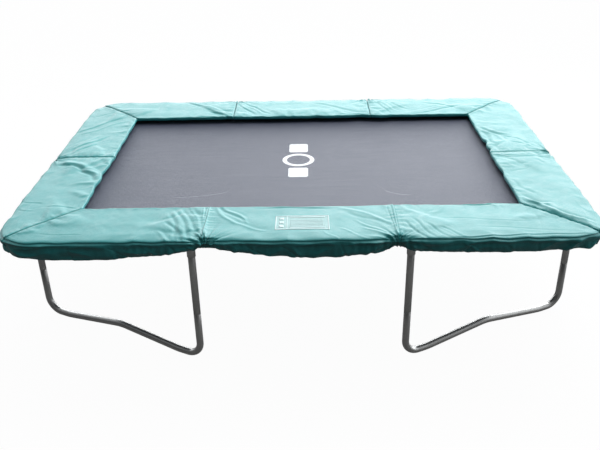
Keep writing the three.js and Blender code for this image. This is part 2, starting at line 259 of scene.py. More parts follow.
def bedMaterial():
    finish = bedFinish
    settings = {"Specular IOR Level": 0.58, "Specular Tint": (0.90, 0.93, 1.0)}
    material, tree, shader = newMaterial("woven bed", **settings)
    where = place(tree)
    threads = weave(tree, where, finish["pitch"])
    # painted shade: the weave's hollows take the darker valley colour, the crossing threads the lighter one
    colour = mixColour(tree, spread(tree, threads, 0, 1, -1, 1), finish["valley"], finish["thread"])
    tree.links.new(colour, shader.inputs["Base Color"])
    bands = noise(tree, place(tree, (2.0, 60.0, 1.0)), 2.0, 3.0)
    tree.links.new(spread(tree, bands, *finish["gloss"], 0.3, 0.7), shader.inputs["Roughness"])
    streaks = bump(tree, shader, bands, finish["streakDepth"])
    bump(tree, shader, threads, finish["depth"], under=streaks)
    return material


steelFinish = dict(
    bright=(0.76, 0.76, 0.74), dull=(0.60, 0.60, 0.58), gloss=(0.24, 0.42), metallic=0.78, spangle=152.0,
    cloudScale=9.0, scratchScale=420.0, scratchDepth=0.00004,
)


def steelMaterial():
    finish = steelFinish
    material, tree, shader = newMaterial("galvanised tube", Metallic=finish["metallic"])
    where = place(tree)
    cells = addNode(tree, "ShaderNodeTexVoronoi", {"Vector": where, "Scale": finish["spangle"]})
    flake = addNode(tree, "ShaderNodeSeparateColor", {0: cells.outputs["Color"]}).outputs[0]
    cloud = noise(tree, where, finish["cloudScale"], 5.0)
    shade = maths(tree, "ADD", maths(tree, "MULTIPLY", flake, 0.35), maths(tree, "MULTIPLY", cloud, 0.65))
    tree.links.new(mixColour(tree, shade, finish["dull"], finish["bright"]), shader.inputs["Base Color"])
    tree.links.new(spread(tree, shade, finish["gloss"][1], finish["gloss"][0]), shader.inputs["Roughness"])
    scratches = noise(tree, place(tree, (1.0, 1.0, 0.08)), finish["scratchScale"], 2.0)
    bump(tree, shader, scratches, finish["scratchDepth"])
    return material


zincFinish = dict(
    name="zinc plated", scale=260.0, dark=(0.46, 0.45, 0.42), bright=(0.70, 0.70, 0.72), gloss=(0.20, 0.42),
    depth=0.00005,
)
wireFinish = dict(
    name="spring wire", scale=120.0, dark=(0.34, 0.34, 0.35), bright=(0.60, 0.60, 0.62), gloss=(0.24, 0.45),
    depth=0.00003,
)


def metalMaterial(finish):
    material, tree, shader = newMaterial(finish["name"], Metallic=1.0)
    cloud = noise(tree, place(tree), finish["scale"], 4.0)
    tree.links.new(mixColour(tree, cloud, finish["dark"], finish["bright"]), shader.inputs["Base Color"])
    tree.links.new(spread(tree, cloud, *finish["gloss"]), shader.inputs["Roughness"])
    bump(tree, shader, cloud, finish["depth"])
    return material


# dark is painted shade in the weave's hollows, bright is the crossing threads
webbingFinish = dict(
    pitch=0.0030, dark=(0.008, 0.008, 0.009), bright=(0.026, 0.027, 0.028), gloss=(0.65, 0.9), depth=0.0004,
)


def webbingMaterial():
    finish = webbingFinish
    material, tree, shader = newMaterial("webbing", **{"Specular IOR Level": 0.35, "Sheen Weight": 0.12})
    where = place(tree)
    threads = weave(tree, where, finish["pitch"])
    # painted shade: the weave's hollows take the dark colour, the crossing threads the bright one
    colour = mixColour(tree, spread(tree, threads, 0, 1, -1, 1), finish["dark"], finish["bright"])
    tree.links.new(colour, shader.inputs["Base Color"])
    tree.links.new(spread(tree, noise(tree, where, 60.0), *finish["gloss"]), shader.inputs["Roughness"])
    bump(tree, shader, threads, finish["depth"])
    return material


def printMaterial(name, colour, dark, wear):
    material, tree, shader = newMaterial(name, **{"Specular IOR Level": 0.4})
    where = place(tree)
    rubbed = spread(tree, noise(tree, where, 90.0, 5.0), 0, wear, 0.45, 0.8)
    tree.links.new(mixColour(tree, rubbed, colour, dark), shader.inputs["Base Color"])
    tree.links.new(spread(tree, rubbed, 0.42, 0.6), shader.inputs["Roughness"])
    bump(tree, shader, weave(tree, where, bedFinish["pitch"]), 0.0002)
    return material


finishes = {
    "galvanised_tube": steelMaterial(),
    "zinc_plated": metalMaterial(zincFinish),
    "spring_wire": metalMaterial(wireFinish),
    "woven_bed": bedMaterial(),
    "pad_cover": coverMaterial(),
    "webbing": webbingMaterial(),
}
threadMaterial = printMaterial("sewing thread", (0.30, 0.31, 0.31), (0.12, 0.12, 0.12), 0.6)
inkMaterial = printMaterial("white print", (0.86, 0.88, 0.90), (0.45, 0.46, 0.48), 0.5)
# a pale grey a little lighter than the bed, for the faint lines near its front ends
faintMaterial = printMaterial("faint pale line", (0.205, 0.212, 0.245), (0.130, 0.136, 0.160), 0.6)
panelMaterial = printMaterial("pale panel", (0.36, 0.60, 0.59), (0.30, 0.54, 0.53), 0.8)
outlineMaterial = printMaterial("panel outline", (0.62, 0.78, 0.78), (0.45, 0.66, 0.66), 0.6)
print("finishes made")

# ---- tools shared by the pieces


def makePiece(name, points, faces, slot, body="frame", stands=(), smooth=True, material=None):
    data = bpy.data.meshes.new(name)
    data.from_pydata([tuple(map(float, p)) for p in points], [], faces)
    data.validate()
    shape = bmesh.new()
    shape.from_mesh(data)
    bmesh.ops.recalc_face_normals(shape, faces=shape.faces)
    shape.to_mesh(data)
    shape.free()
    if smooth:
        data.shade_smooth()
    data.materials.append(material or finishes[slot])
    piece = bpy.data.objects.new(name, data)
    bpy.context.scene.collection.objects.link(piece)
    if body:
        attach(piece, body)
    if stands:
        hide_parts(*stands)
    return piece


def ringFaces(count, size, closed=False, capped=False):
    # faces between rings that follow each other, each of size points
    faces = []
    for i in range(count if closed else count - 1):
        a, b = i * size, (i + 1) % count * size
        faces += [(a + k, a + (k + 1) % size, b + (k + 1) % size, b + k) for k in range(size)]
    if capped:
        faces += [tuple(range(size)), tuple(range((count - 1) * size, count * size))]
    return faces


def slabFaces(rows, cols):
    # faces of a thin sheet: a grid of points above, the same grid below, and the rim between them
    below = rows * cols
    faces = []
    for i in range(rows - 1):
        for j in range(cols - 1):
            a = i * cols + j
            quad = (a, a + cols, a + cols + 1, a + 1)
            faces += [quad, tuple(below + k for k in quad[::-1])]
    rim = [i * cols for i in range(rows)] + [(rows - 1) * cols + j for j in range(1, cols)]
    rim += [i * cols + cols - 1 for i in range(rows - 2, -1, -1)] + list(range(cols - 2, 0, -1))
    return faces + [(a, b, below + b, below + a) for a, b in zip(rim, rim[1:] + rim[:1])]


class Shell:
    def __init__(self):
        self.points = []
        self.faces = []

    def add(self, points, faces):
        start = len(self.points)
        self.points.extend(points)
        self.faces.extend([tuple(start + i for i in face) for face in faces])


def bentLine(corners, radii, step=math.radians(5)):
    # straight runs and round bends: a list of (point, direction)
    corners = [Vector(c) for c in corners]
    line = [(corners[0], (corners[1] - corners[0]).normalized())]
    for before, corner, after, radius in zip(corners, corners[1:], corners[2:], radii):
        arriving = (corner - before).normalized()
        leaving = (after - corner).normalized()
        turn = arriving.angle(leaving)
        inward = (leaving - arriving * math.cos(turn)).normalized()
        start = corner - arriving * radius * math.tan(turn / 2)
        centre = start + inward * radius
        count = max(2, round(turn / step))
        for i in range(count + 1):
            angle = turn * i / count
            point = centre - inward * radius * math.cos(angle) + arriving * radius * math.sin(angle)
            line.append((point, arriving * math.cos(angle) + inward * math.sin(angle)))
    line.append((corners[-1], (corners[-1] - corners[-2]).normalized()))
    return line


def sweepRings(line, radii, normal, sides, closed=False, capped=False):
    points = []
    for (point, way), radius in zip(line, radii):
        side = way.cross(normal).normalized()
        for k in range(sides):
            angle = 2 * math.pi * k / sides
            points.append(point + (side * math.cos(angle) + normal * math.sin(angle)) * radius)
    return points, ringFaces(len(line), sides, closed, capped)


def hollowTube(line, radius, wall, normal, sides=32, edge=0.0006):
    # outer face one way, inner face back, joined round both ends with a small broken edge
    outward = [(line[0][0], line[0][1]), (line[0][0] + line[0][1] * edge, line[0][1])] + line[1:-1]
    outward += [(line[-1][0] - line[-1][1] * edge, line[-1][1]), line[-1]]
    outer = [radius - edge] + [radius] * (len(outward) - 2) + [radius - edge]
    inner = [radius - wall] * len(line)
    return sweepRings(outward + line[::-1], outer + inner, normal, sides, closed=True)


def turnedRings(profile, centre, axis, sides):
    # (radius, height) stations turned about an axis through centre
    axis = Vector(axis).normalized()
    normal = axis.orthogonal().normalized()
    line = [(Vector(centre) + axis * height, axis) for radius, height in profile]
    return sweepRings(line, [radius for radius, height in profile], normal, sides, capped=True)


def middle(node):
    low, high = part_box(node)
    return (low + high) / 2


quarters = [("front_left", -1, -1), ("front_right", 1, -1), ("back_left", -1, 1), ("back_right", 1, 1)]

# ---- rails

railSize = dict(
    bend=0.170, wall=0.0015, socketWall=0.0027, socketGap=0.0003, socketDrop=0.0105, bead=0.0022, sides=36,
    beadLumps=24, beadStations=72, beadSides=8, beadSeed=11, jointGap=0.0004,
)

railMid = middle("rail_middle_front")
railZ, railY = railMid.z, -railMid.y
railX = middle("rail_sleeve_right").x
tubeRadius = (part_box("rail_middle_front")[1].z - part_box("rail_middle_front")[0].z) / 2
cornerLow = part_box("rail_corner_back_right")[0]
jointX = cornerLow.x
postIn = middle("leg_upright_inner_back_right")
postOut = middle("leg_upright_outer_back_right")
socketRadius = tubeRadius + railSize["socketWall"] + railSize["socketGap"]
up = Vector((0, 0, 1))


def weldBead(shell, centre, radius, seed):
    # a slightly uneven ring of weld
    draw = np.random.default_rng(seed)
    stations, sides = railSize["beadStations"], railSize["beadSides"]
    lumps = np.sin(np.arange(stations) * 2 * math.pi * railSize["beadLumps"] / stations)
    reaches = railSize["bead"] * (1 + 0.18 * lumps + draw.normal(0, 0.05, stations))
    points = []
    for i, reach in enumerate(reaches):
        angle = 2 * math.pi * i / stations
        out = Vector((math.cos(angle), math.sin(angle), 0))
        for k in range(sides):
            turn = 2 * math.pi * k / sides
            points.append(centre + out * (radius + reach * math.cos(turn)) + up * reach * math.sin(turn))
    shell.add(points, ringFaces(stations, sides, closed=True))


def mirrored(points, sx, sy):
    return [Vector((p.x * sx, p.y * sy, p.z)) for p in points]


def makeRails():
    size = railSize
    for number, (corner, sx, sy) in enumerate(quarters):
        shell = Shell()
        corners = [(jointX, railY, railZ), (railX, railY, railZ), (railX, cornerLow.y, railZ)]
        line = bentLine(corners, [size["bend"]])
        points, faces = hollowTube(line, tubeRadius, size["wall"], up, size["sides"])
        shell.add(mirrored(points, sx, sy), faces)
        for post in (postIn, postOut):
            low = Vector((post.x, post.y, cornerLow.z))
            high = Vector((post.x, post.y, railZ - size["socketDrop"]))
            line = [(low, up), (high, up)]
            points, faces = hollowTube(line, socketRadius, size["socketWall"], Vector((1, 0, 0)), size["sides"])
            shell.add(mirrored(points, sx, sy), faces)
            weldBead(shell, Vector((post.x * sx, post.y * sy, high.z)), socketRadius - 0.001, size["beadSeed"] + number)
        name = "rail_corner_" + corner
        makePiece("tube_" + name, shell.points, shell.faces, "galvanised_tube", stands=[name])
    end = jointX - size["jointGap"]
    for side, sy in (("front", -1), ("back", 1)):
        line = bentLine([(-end, sy * railY, railZ), (end, sy * railY, railZ)], [])
        points, faces = hollowTube(line, tubeRadius, size["wall"], up, size["sides"])
        name = "rail_middle_" + side
        makePiece("tube_" + name, points, faces, "galvanised_tube", stands=[name])


# ---- legs

legSize = dict(
    footBend=0.085, footFlat=0.060, barRise=0.050, barBend=0.300, wall=0.0015, sides=36, seamGap=0.0004,
    lip=0.0010,
)


def makeLegs():
    size = legSize
    flat = Vector((postOut.x - postIn.x, postOut.y - postIn.y, 0))
    length, way = flat.length, flat.normalized()
    normal = Vector((-way.y, way.x, 0))
    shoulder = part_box("leg_upright_inner_back_right")[0].z
    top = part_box("leg_upright_inner_back_right")[1].z
    low, neck = tubeRadius, shoulder - size["seamGap"]
    end = size["footBend"] + size["footFlat"]
    stations = [(0, neck), (0, low), (end, low), (length / 2, low + size["barRise"])]
    stations += [(length - end, low), (length, low), (length, neck)]
    start = Vector((postIn.x, postIn.y, 0))
    corners = [start + way * along + up * height for along, height in stations]
    bend, shallow = size["footBend"], size["barBend"]
    line = bentLine(corners, [bend, shallow, shallow, shallow, bend], math.radians(3))
    basePoints, baseFaces = hollowTube(line, tubeRadius, size["wall"], normal, size["sides"])
    for corner, sx, sy in quarters:
        name = "leg_base_" + corner
        makePiece("tube_" + name, mirrored(basePoints, sx, sy), baseFaces, "galvanised_tube", stands=[name])
        for which, post in (("inner", postIn), ("outer", postOut)):
            name = f"leg_upright_{which}_{corner}"
            line = [(Vector((post.x, post.y, shoulder)), up), (Vector((post.x, post.y, top)), up)]
            points, faces = hollowTube(line, tubeRadius, size["wall"], normal, size["sides"], size["lip"])
            makePiece("tube_" + name, mirrored(points, sx, sy), faces, "galvanised_tube", stands=[name])


# ---- bolts

boltSize = dict(
    across=0.0065, head=0.0040, washer=0.0095, washerHeight=0.0012, shank=0.0027, edge=0.0003,
    socketShank=0.0088, railShank=0.0075,
)


def boltShell(seat, out, length):
    # hexagon head with a chamfered rim, on a washer; out is the way that the head faces
    shell = Shell()
    size = boltSize
    corner, edge = size["across"] / math.cos(math.pi / 6), size["edge"]
    radius, height = size["washer"], size["washerHeight"]
    washer = [(radius - edge, 0), (radius, edge), (radius, height - edge), (radius - edge, height)]
    shell.add(*turnedRings(washer, seat, out, 32))
    head = [(corner, 0), (corner, size["head"] - 0.0011), (corner * 0.86, size["head"] - 0.0002)]
    head += [(corner * 0.80, size["head"])]
    shell.add(*turnedRings(head, seat + out * height, out, 6))
    shank = [(size["shank"], 0), (size["shank"], length - 0.0006), (size["shank"] * 0.8, length)]
    shell.add(*turnedRings(shank, seat, -out, 16))
    return shell


def makeBolt(name, seat, out, length):
    shell = boltShell(seat, out, length)
    makePiece("bolt_" + name, shell.points, shell.faces, "zinc_plated", stands=[name], smooth=False)


def makeBolts():
    flat = Vector((postOut.x - postIn.x, postOut.y - postIn.y, 0)).normalized()
    normal = Vector((-flat.y, flat.x, 0))  # outward, away from the bed
    if normal.y < 0:
        normal = -normal
    for corner, sx, sy in quarters:
        for which, post in (("inner", postIn), ("outer", postOut)):
            name = f"socket_screw_{which}_{corner}"
            inward = Vector((-normal.x * sx, -normal.y * sy, 0))
            axis = Vector((post.x * sx, post.y * sy, middle(name).z))
            makeBolt(name, axis + inward * (socketRadius + 0.0003), inward, boltSize["socketShank"])
        for which in ("side", "end"):
            name = f"rail_screw_{which}_{corner}"
            spot = middle(name)
            makeBolt(name, Vector((spot.x, spot.y, railZ - tubeRadius - 0.0002)), -up, boltSize["railShank"])


makeRails()
makeLegs()
makeBolts()
for side in ("left", "right"):
    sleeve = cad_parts["rail_sleeve_" + side]
    sleeve.data.materials.clear()
    sleeve.data.materials.append(finishes["galvanised_tube"])
print("rails, legs and bolts made")

# ---- bed

bedSize = dict(thickness=0.0022, corner=0.045, sag=0.006, cell=0.022, hemIn=0.034, hemThickness=0.0052)
bedLow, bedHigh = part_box("jumping_bed")
bedX, bedY, bedZ = bedHigh.x, bedHigh.y, (bedLow.z + bedHigh.z) / 2
hemOut = 0.0183  # the webbing's reach past the bed, as in the frame's spring rows


def bedDip(x, y):
    shape = (1 - (x / bedX) ** 2) * (1 - (y / bedY) ** 2)
    return -bedSize["sag"] * np.clip(shape, 0, 1)


def makeBed():
    # a grid whose corner cells are drawn in to quarter circles
    r = bedSize["corner"]

    def stations(half):
        run = half - r
        inner = np.linspace(-run, run, int(2 * run / bedSize["cell"]))
        edge = np.linspace(0, r, 6)[1:]
        return np.concatenate([-(run + edge[::-1]), inner, run + edge])

    gx, gy = np.meshgrid(stations(bedX), stations(bedY), indexing="ij")
    px = np.clip((np.abs(gx) - (bedX - r)) / r, 0, 1)
    py = np.clip((np.abs(gy) - (bedY - r)) / r, 0, 1)
    x = np.where(px > 0, np.sign(gx) * (bedX - r + r * px * np.sqrt(1 - py * py / 2)), gx)
    y = np.where(py > 0, np.sign(gy) * (bedY - r + r * py * np.sqrt(1 - px * px / 2)), gy)
    half = bedSize["thickness"] / 2
    z = bedZ + bedDip(x, y)
    layers = [np.stack([x, y, z + side * half], -1).reshape(-1, 3) for side in (1, -1)]
    points, faces = np.concatenate(layers), slabFaces(*gx.shape)
    return makePiece("bed_sheet", points, faces, "woven_bed", "bed", ["jumping_bed"])


def roundedLine(halfX, halfY, radius, step):
    # points round a rounded rectangle, with the outward way at each
    points, ways = [], []
    corners = [(1, 1, 0), (-1, 1, 90), (-1, -1, 180), (1, -1, 270)]
    for sx, sy, start in corners:
        centre = Vector((sx * (halfX - radius), sy * (halfY - radius), 0))
        for i in range(13):
            angle = math.radians(start + 90 * i / 12)
            way = Vector((math.cos(angle), math.sin(angle), 0))
            points.append(centre + way * radius)
            ways.append(way)
    line, outs = [], []
    for i, point in enumerate(points):
        after, way, nextWay = points[(i + 1) % len(points)], ways[i], ways[(i + 1) % len(points)]
        count = max(1, round((after - point).length / step))
        for k in range(count):
            line.append(point.lerp(after, k / count))
            outs.append(way.lerp(nextWay, k / count).normalized())
    return line, outs


def makeHem():
    # webbing folded over the bed's edge, with a thicker outer edge where the rings sit
    half = bedSize["hemThickness"] / 2
    inside, outside = -bedSize["hemIn"], hemOut
    section = [(inside, 0.0013), (inside + 0.002, half), (outside - 0.010, half), (outside - 0.008, half * 1.25)]
    section += [(outside - 0.002, half * 1.15), (outside, half * 0.5), (outside, -half * 0.5)]
    section += [(w, -h) for w, h in section[::-1][1:]]
    line, outs = roundedLine(bedX, bedY, bedSize["corner"], 0.02)
    points = []
    for point, out in zip(line, outs):
        for w, h in section:
            spot = point + out * w
            points.append(Vector((spot.x, spot.y, bedZ + h)))
    return makePiece("bed_hem", points, ringFaces(len(line), len(section), closed=True), "webbing", "bed")


stitchSize = dict(long=0.0052, wide=0.0007, tall=0.0006, gap=0.0085, rows=(-0.030, -0.018, 0.004), clear=0.0001)


def stitches(line, outs, offset, height):
    # one run of thread: short plump stitches laid end to end along the line
    size = stitchSize
    shell = Shell()
    run = [p + o * offset for p, o in zip(line, outs)]
    along = 0.0
    for a, b in zip(run, run[1:] + run[:1]):
        span = (b - a).length
        if span < 1e-6:
            continue
        way = (b - a) / span
        side = Vector((-way.y, way.x, 0))
        while along < span:
            centre = a + way * along + up * height
            ring = []
            for t, s in ((-0.5, 0.25), (-0.25, 1), (0.25, 1), (0.5, 0.25)):
                spot = centre + way * size["long"] * t
                wide, tall = side * size["wide"] * s, up * size["tall"] * s
                ring += [spot + wide, spot + tall, spot - wide, spot - tall]
            shell.add(ring, ringFaces(4, 4, capped=True))
            along += size["gap"]
        along -= span
    return shell


def makeHemThread():
    line, outs = roundedLine(bedX, bedY, bedSize["corner"], 0.05)
    height = bedSize["hemThickness"] / 2 + stitchSize["clear"]
    shell = Shell()
    for offset in stitchSize["rows"]:
        for side in (1, -1):
            run = stitches(line, outs, offset, bedZ + side * height)
            shell.add(run.points, run.faces)
    return makePiece("hem_thread", shell.points, shell.faces, "webbing", "bed", material=threadMaterial)


markSize = dict(
    centre=(-0.02, 0.035), ringOut=0.100, ringIn=0.072, ringSides=96, barHalf=0.060, barNear=0.125, barFar=0.265,
    barRound=0.010, barSteps=13, lift=0.0003,
)
lineSize = dict(
    left=(-0.740, -0.390), right=(0.610, 0.458), front=-0.500, slope=0.075, curl=0.075, half=0.0030, steps=49,
    lift=0.0003,
)


def onBed(x, y, lift=0.0):
    return Vector((x, y, bedZ + float(bedDip(x, y)) + bedSize["thickness"] / 2 + lift))


def bedBand(shell, edges, lift, closed=False):
    # a thin band laid on the bed, from the (x, y) of both its edges at each place along it
    points = []
    for near, far in edges:
        points += [onBed(*near), onBed(*near, lift), onBed(*far, lift), onBed(*far)]
    shell.add(points, ringFaces(len(edges), 4, closed, not closed))


def makeBedMark():
    # a plain printed ring between two blocks
    size = markSize
    cx, cy = size["centre"]
    shell = Shell()
    edges = []
    for i in range(size["ringSides"]):
        angle = 2 * math.pi * i / size["ringSides"]
        c, s = math.cos(angle), math.sin(angle)
        edges.append([(cx + radius * c, cy + radius * s) for radius in (size["ringOut"], size["ringIn"])])
    bedBand(shell, edges, size["lift"], closed=True)
    for way in (-1, 1):
        edges = []
        for i in range(size["barSteps"]):
            t = i / (size["barSteps"] - 1)
            y = cy + way * (size["barNear"] + (size["barFar"] - size["barNear"]) * t)
            past = max(0.0, abs(2 * t - 1) - 0.85) / 0.15
            half = size["barHalf"] - size["barRound"] * (1 - math.sqrt(max(0.0, 1 - past ** 2)))
            edges.append([(cx - half, y), (cx + half, y)])
        bedBand(shell, edges, size["lift"])
    return makePiece(
        "bed_mark", shell.points, shell.faces, "woven_bed", "bed", smooth=False, material=inkMaterial,
    )


def makeBedLines():
    # a faint line, a little lighter than the bed, near each end of the bed's front half, nearly straight and then
    # curling back
    size = lineSize
    shell = Shell()
    for far, near in (size["left"], size["right"]):
        edges = []
        for i in range(size["steps"]):
            t = i / (size["steps"] - 1)
            x = far + (near - far) * t
            y = size["front"] + size["slope"] * t * t + size["curl"] * max(0.0, (t - 0.80) / 0.20) ** 2.5
            thin = size["half"] * min(1.0, 0.25 + 4 * min(t, 1 - t))
            edges.append([(x, y - thin), (x, y + thin)])
        bedBand(shell, edges, size["lift"])
    return makePiece(
        "bed_line", shell.points, shell.faces, "woven_bed", "bed", smooth=False, material=faintMaterial,
    )


bed = makeBed()
hem = makeHem()
hemThread = makeHemThread()
bedMark = makeBedMark()
bedLine = makeBedLines()
print("bed made")

# ---- springs

springSize = dict(
    pitch=0.097, margin=0.060, length=0.193, wire=0.0016, coil=0.0082, ring=0.0016, ringHalf=0.0150,
    ringIn=-0.008, ringOut=0.026, coilFrom=0.036, coilTo=0.160, turns=29, steps=12, sides=6,
)


def wirePath(points, radius, sides, closed=False):
    points = [Vector(p) for p in points]
    count = len(points)
    line, normals = [], []
    normal = None
    for i, point in enumerate(points):
        before = points[i - 1] if i > 0 or closed else point
        after = points[(i + 1) % count] if i < count - 1 or closed else point
        way = (after - before).normalized()
        normal = way.orthogonal() if normal is None else normal - way * normal.dot(way)
        normal.normalize()
        line.append((point, way))
        normals.append(normal.copy())
    spots = []
    for (point, way), normal in zip(line, normals):
        side = way.cross(normal)
        for k in range(sides):
            angle = 2 * math.pi * k / sides
            spots.append(point + (side * math.cos(angle) + normal * math.sin(angle)) * radius)
    return spots, ringFaces(count, sides, closed, not closed)


def springShape():
    # one spring lying along +Y from the hem's outer edge, and its ring
    size = springSize
    shell = Shell()
    coil = []
    total = size["turns"] * size["steps"]
    for i in range(total + 1):
        t = i / total
        angle = 2 * math.pi * size["turns"] * t
        along = size["coilFrom"] + (size["coilTo"] - size["coilFrom"]) * t
        coil.append((size["coil"] * math.cos(angle), along, size["coil"] * math.sin(angle)))
    half, near, far = size["ringHalf"], size["ringIn"], size["ringOut"]
    turned, end = size["coilTo"], size["length"]
    start = [(0, far + 0.0045, -0.0050), (0, far - 0.0035, -0.0052), (0, far - 0.0062, 0.0)]
    start += [(0, far - 0.0035, 0.0052), (0, far + 0.004, 0.0060), (0.004, size["coilFrom"] - 0.002, 0.0070)]
    finish = [(0.005, turned + 0.003, 0.003), (0.001, turned + 0.009, 0.0004), (0, turned + 0.018, 0)]
    finish += [(0, end - 0.004, 0), (0, end + 0.001, -0.001), (0, end + 0.003, -0.006), (0, end + 0.003, -0.012)]
    shell.add(*wirePath(start + coil + finish, size["wire"], size["sides"]))
    ring = []
    for cx, cy, radius, first, last in (
        (half - 0.004, near + 0.004, 0.004, -90, 20), (0, far - 0.006, 0.006, 20, 160),
        (-half + 0.004, near + 0.004, 0.004, 160, 270),
    ):
        for i in range(7):
            angle = math.radians(first + (last - first) * i / 6)
            ring.append((cx + radius * math.cos(angle), cy + radius * math.sin(angle), 0))
    shell.add(*wirePath(ring, size["ring"], 8, closed=True))
    return shell


def makeSprings():
    size = springSize
    pattern = springShape()
    # side, turn of the pattern about Z, half length of the bed along it, the bed's edge
    sides = [("back", 0, bedX, bedY), ("left", 90, bedY, bedX), ("front", 180, bedX, bedY), ("right", 270, bedY, bedX)]
    for side, degrees, half, edge in sides:
        turn = Matrix.Rotation(math.radians(degrees), 3, "Z")
        count = int((2 * half - 2 * size["margin"]) / size["pitch"]) + 1
        reach = (count - 1) * size["pitch"] / 2
        shell = Shell()
        for i in range(count):
            move = Vector((i * size["pitch"] - reach, edge + hemOut, 0))
            shell.add([turn @ (p + move) + up * bedZ for p in pattern.points], pattern.faces)
        name = "spring_row_" + side
        piece = makePiece("coils_" + side, shell.points, shell.faces, "spring_wire", None, [name])
        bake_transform(piece)


makeSprings()
print("springs made")

# ---- pads

padSize = dict(
    cell=0.015, cornerBend=0.200, gap=0.0003, crown=0.002, smoothing=2, edgeWave=0.0020, edgeDip=0.0034,
    seamDrop=0.006, seamReach=0.006, pucker=0.0010, creaseShare=0.55, unevenness=(0.0007, 0.00012),
    skirtRows=9, skirtThickness=0.0032, tuck=0.009, tieTuck=0.026, tieDroop=0.013, gather=0.0034, knot=0.0060,
    hang=0.0022, foldShare=1180, pleat=(0.0003, 0.0046), roll=0.011, crumple=0.0042, clear=0.0008, cloth=0.0030,
    seed=50, sharedSeed=404,
)
# height of the skirt's hem along each side, from one corner to the other
hemLine = dict(
    front=[
        (-1.60, 0.672), (-1.45, 0.661), (-1.30, 0.645), (-1.03, 0.641), (-0.65, 0.668), (-0.53, 0.690),
        (-0.47, 0.701), (-0.42, 0.697), (-0.25, 0.676), (-0.05, 0.645), (0.08, 0.640), (0.22, 0.643),
        (0.38, 0.668), (0.47, 0.688), (0.54, 0.676), (0.66, 0.664), (1.00, 0.662), (1.34, 0.664), (1.60, 0.680),
    ],
    back=[
        (-1.60, 0.670), (-1.20, 0.650), (-0.75, 0.655), (-0.48, 0.694), (-0.25, 0.665), (0.05, 0.644),
        (0.30, 0.660), (0.49, 0.690), (0.70, 0.660), (1.15, 0.648), (1.60, 0.676),
    ],
    left=[(-1.20, 0.670), (-0.80, 0.650), (-0.30, 0.655), (0.00, 0.690), (0.30, 0.658), (0.75, 0.648), (1.20, 0.668)],
    right=[(-1.20, 0.680), (-0.75, 0.658), (-0.25, 0.660), (0.00, 0.692), (0.28, 0.662), (0.80, 0.650), (1.20, 0.674)],
)
# where the skirt is tied in under the rail: side, place along it, how strongly, how wide
ties = [
    ("front", -0.470, 1.0, 0.060), ("front", 0.480, 1.0, 0.060), ("back", -0.485, 0.8, 0.055),
    ("back", 0.485, 0.8, 0.055), ("left", 0.0, 0.6, 0.050), ("right", 0.0, 0.6, 0.050),
]
padMidLow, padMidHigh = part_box("pad_middle_back")
padEndLow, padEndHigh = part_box("pad_end_back_right")
seamX, padInnerY, padOuterY, padTop = padMidHigh.x, padMidLow.y, padMidHigh.y, padMidHigh.z
padInnerX, padOuterX = padEndLow.x, padEndHigh.x
padWidth = padOuterY - padInnerY
sleeveLow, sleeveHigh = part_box("rail_sleeve_right")
sleeveRadius, sleeveReach = (sleeveHigh.z - sleeveLow.z) / 2, sleeveHigh.y + 0.004
padBase = railZ + tubeRadius + 0.003
foam = padTop - padBase


def smoothed(table, where, width=0.03):
    grid = np.linspace(-1.7, 1.7, 681)
    keys, values = zip(*table)
    heights = np.interp(grid, keys, values)
    half = int(3 * width / (grid[1] - grid[0]))
    kernel = np.exp(-0.5 * (np.arange(-half, half + 1) * (grid[1] - grid[0]) / width) ** 2)
    padded = np.pad(heights, half, mode="edge")
    return np.interp(where, grid, np.convolve(padded, kernel / kernel.sum(), mode="valid"))


def tied(side, where):
    # how strongly the skirt is drawn in at this place along a side, 0 to 1
    pull = np.zeros_like(where)
    for tieSide, centre, strength, width in ties:
        if tieSide == side:
            pull = np.maximum(pull, strength * np.exp(-(((where - centre) / width) ** 2)))
    return pull


def padSection(hem, pull):
    # the closed outline across a pad at one place along it: (across, height, skin), where skin is 1 on the
    # loose cover and 0 where it is held against the foam's underside
    top, base = padTop, padBase
    line = [(0.012, base, 0), (0.004, base + 0.001, 0), (0.0008, base + 0.006, 0.2), (0.0, base + 0.013, 0.4)]
    line += [(0.0015, top - 0.006, 0.6), (0.006, top - 0.0016, 0.8)]
    inner, outer = 0.014, padWidth - 0.030
    for i in range(23):
        across = inner + (outer - inner) * i / 22
        crown = padSize["crown"] * math.sin(math.pi * across / padWidth) ** 0.8
        line.append((across, top - 0.001 + crown, 1))
    droop = padSize["tieDroop"] * pull
    rim = [(0.020, -0.0012), (0.012, -0.0034), (0.0075, -0.0066), (0.0072, -0.0092), (0.0098, -0.0112)]
    rim += [(0.0092, -0.0126), (0.0052, -0.0148), (0.0026, -0.0175), (0.0018, -0.0210)]
    for across, height in rim:
        line.append((padWidth - across - droop, top + height - droop * 0.6, 1))
    crease = base - 0.0005
    inset = 0.0015 + padSize["tuck"] + padSize["tieTuck"] * pull
    rows = padSize["skirtRows"]
    for i in range(rows + 1):
        t = i / rows
        belly = 0.0035 * math.sin(math.pi * min(1.0, t * 1.1)) * (1 - pull)
        across = padWidth - 0.0026 - droop - inset * t ** 1.6 + belly * 0.6
        line.append((across, crease + (hem - crease) * t, 1))
    thick = padSize["skirtThickness"]
    hemAcross = line[-1][0]
    line.append((hemAcross - thick * 0.5, hem - 0.0012, 1))
    line.append((hemAcross - thick, hem, 1))
    for i in range(1, 6):
        t = 1 - i / 6
        across = padWidth - 0.0024 - droop - inset * t ** 1.6 - thick
        line.append((across, base - 0.006 + (hem - base + 0.006) * t, t))
    line.append((padWidth - 0.010, base - 0.0008, 0))
    for i in range(16):
        line.append((padWidth - 0.022 - (padWidth - 0.046) * i / 15, base, 0))
    return line


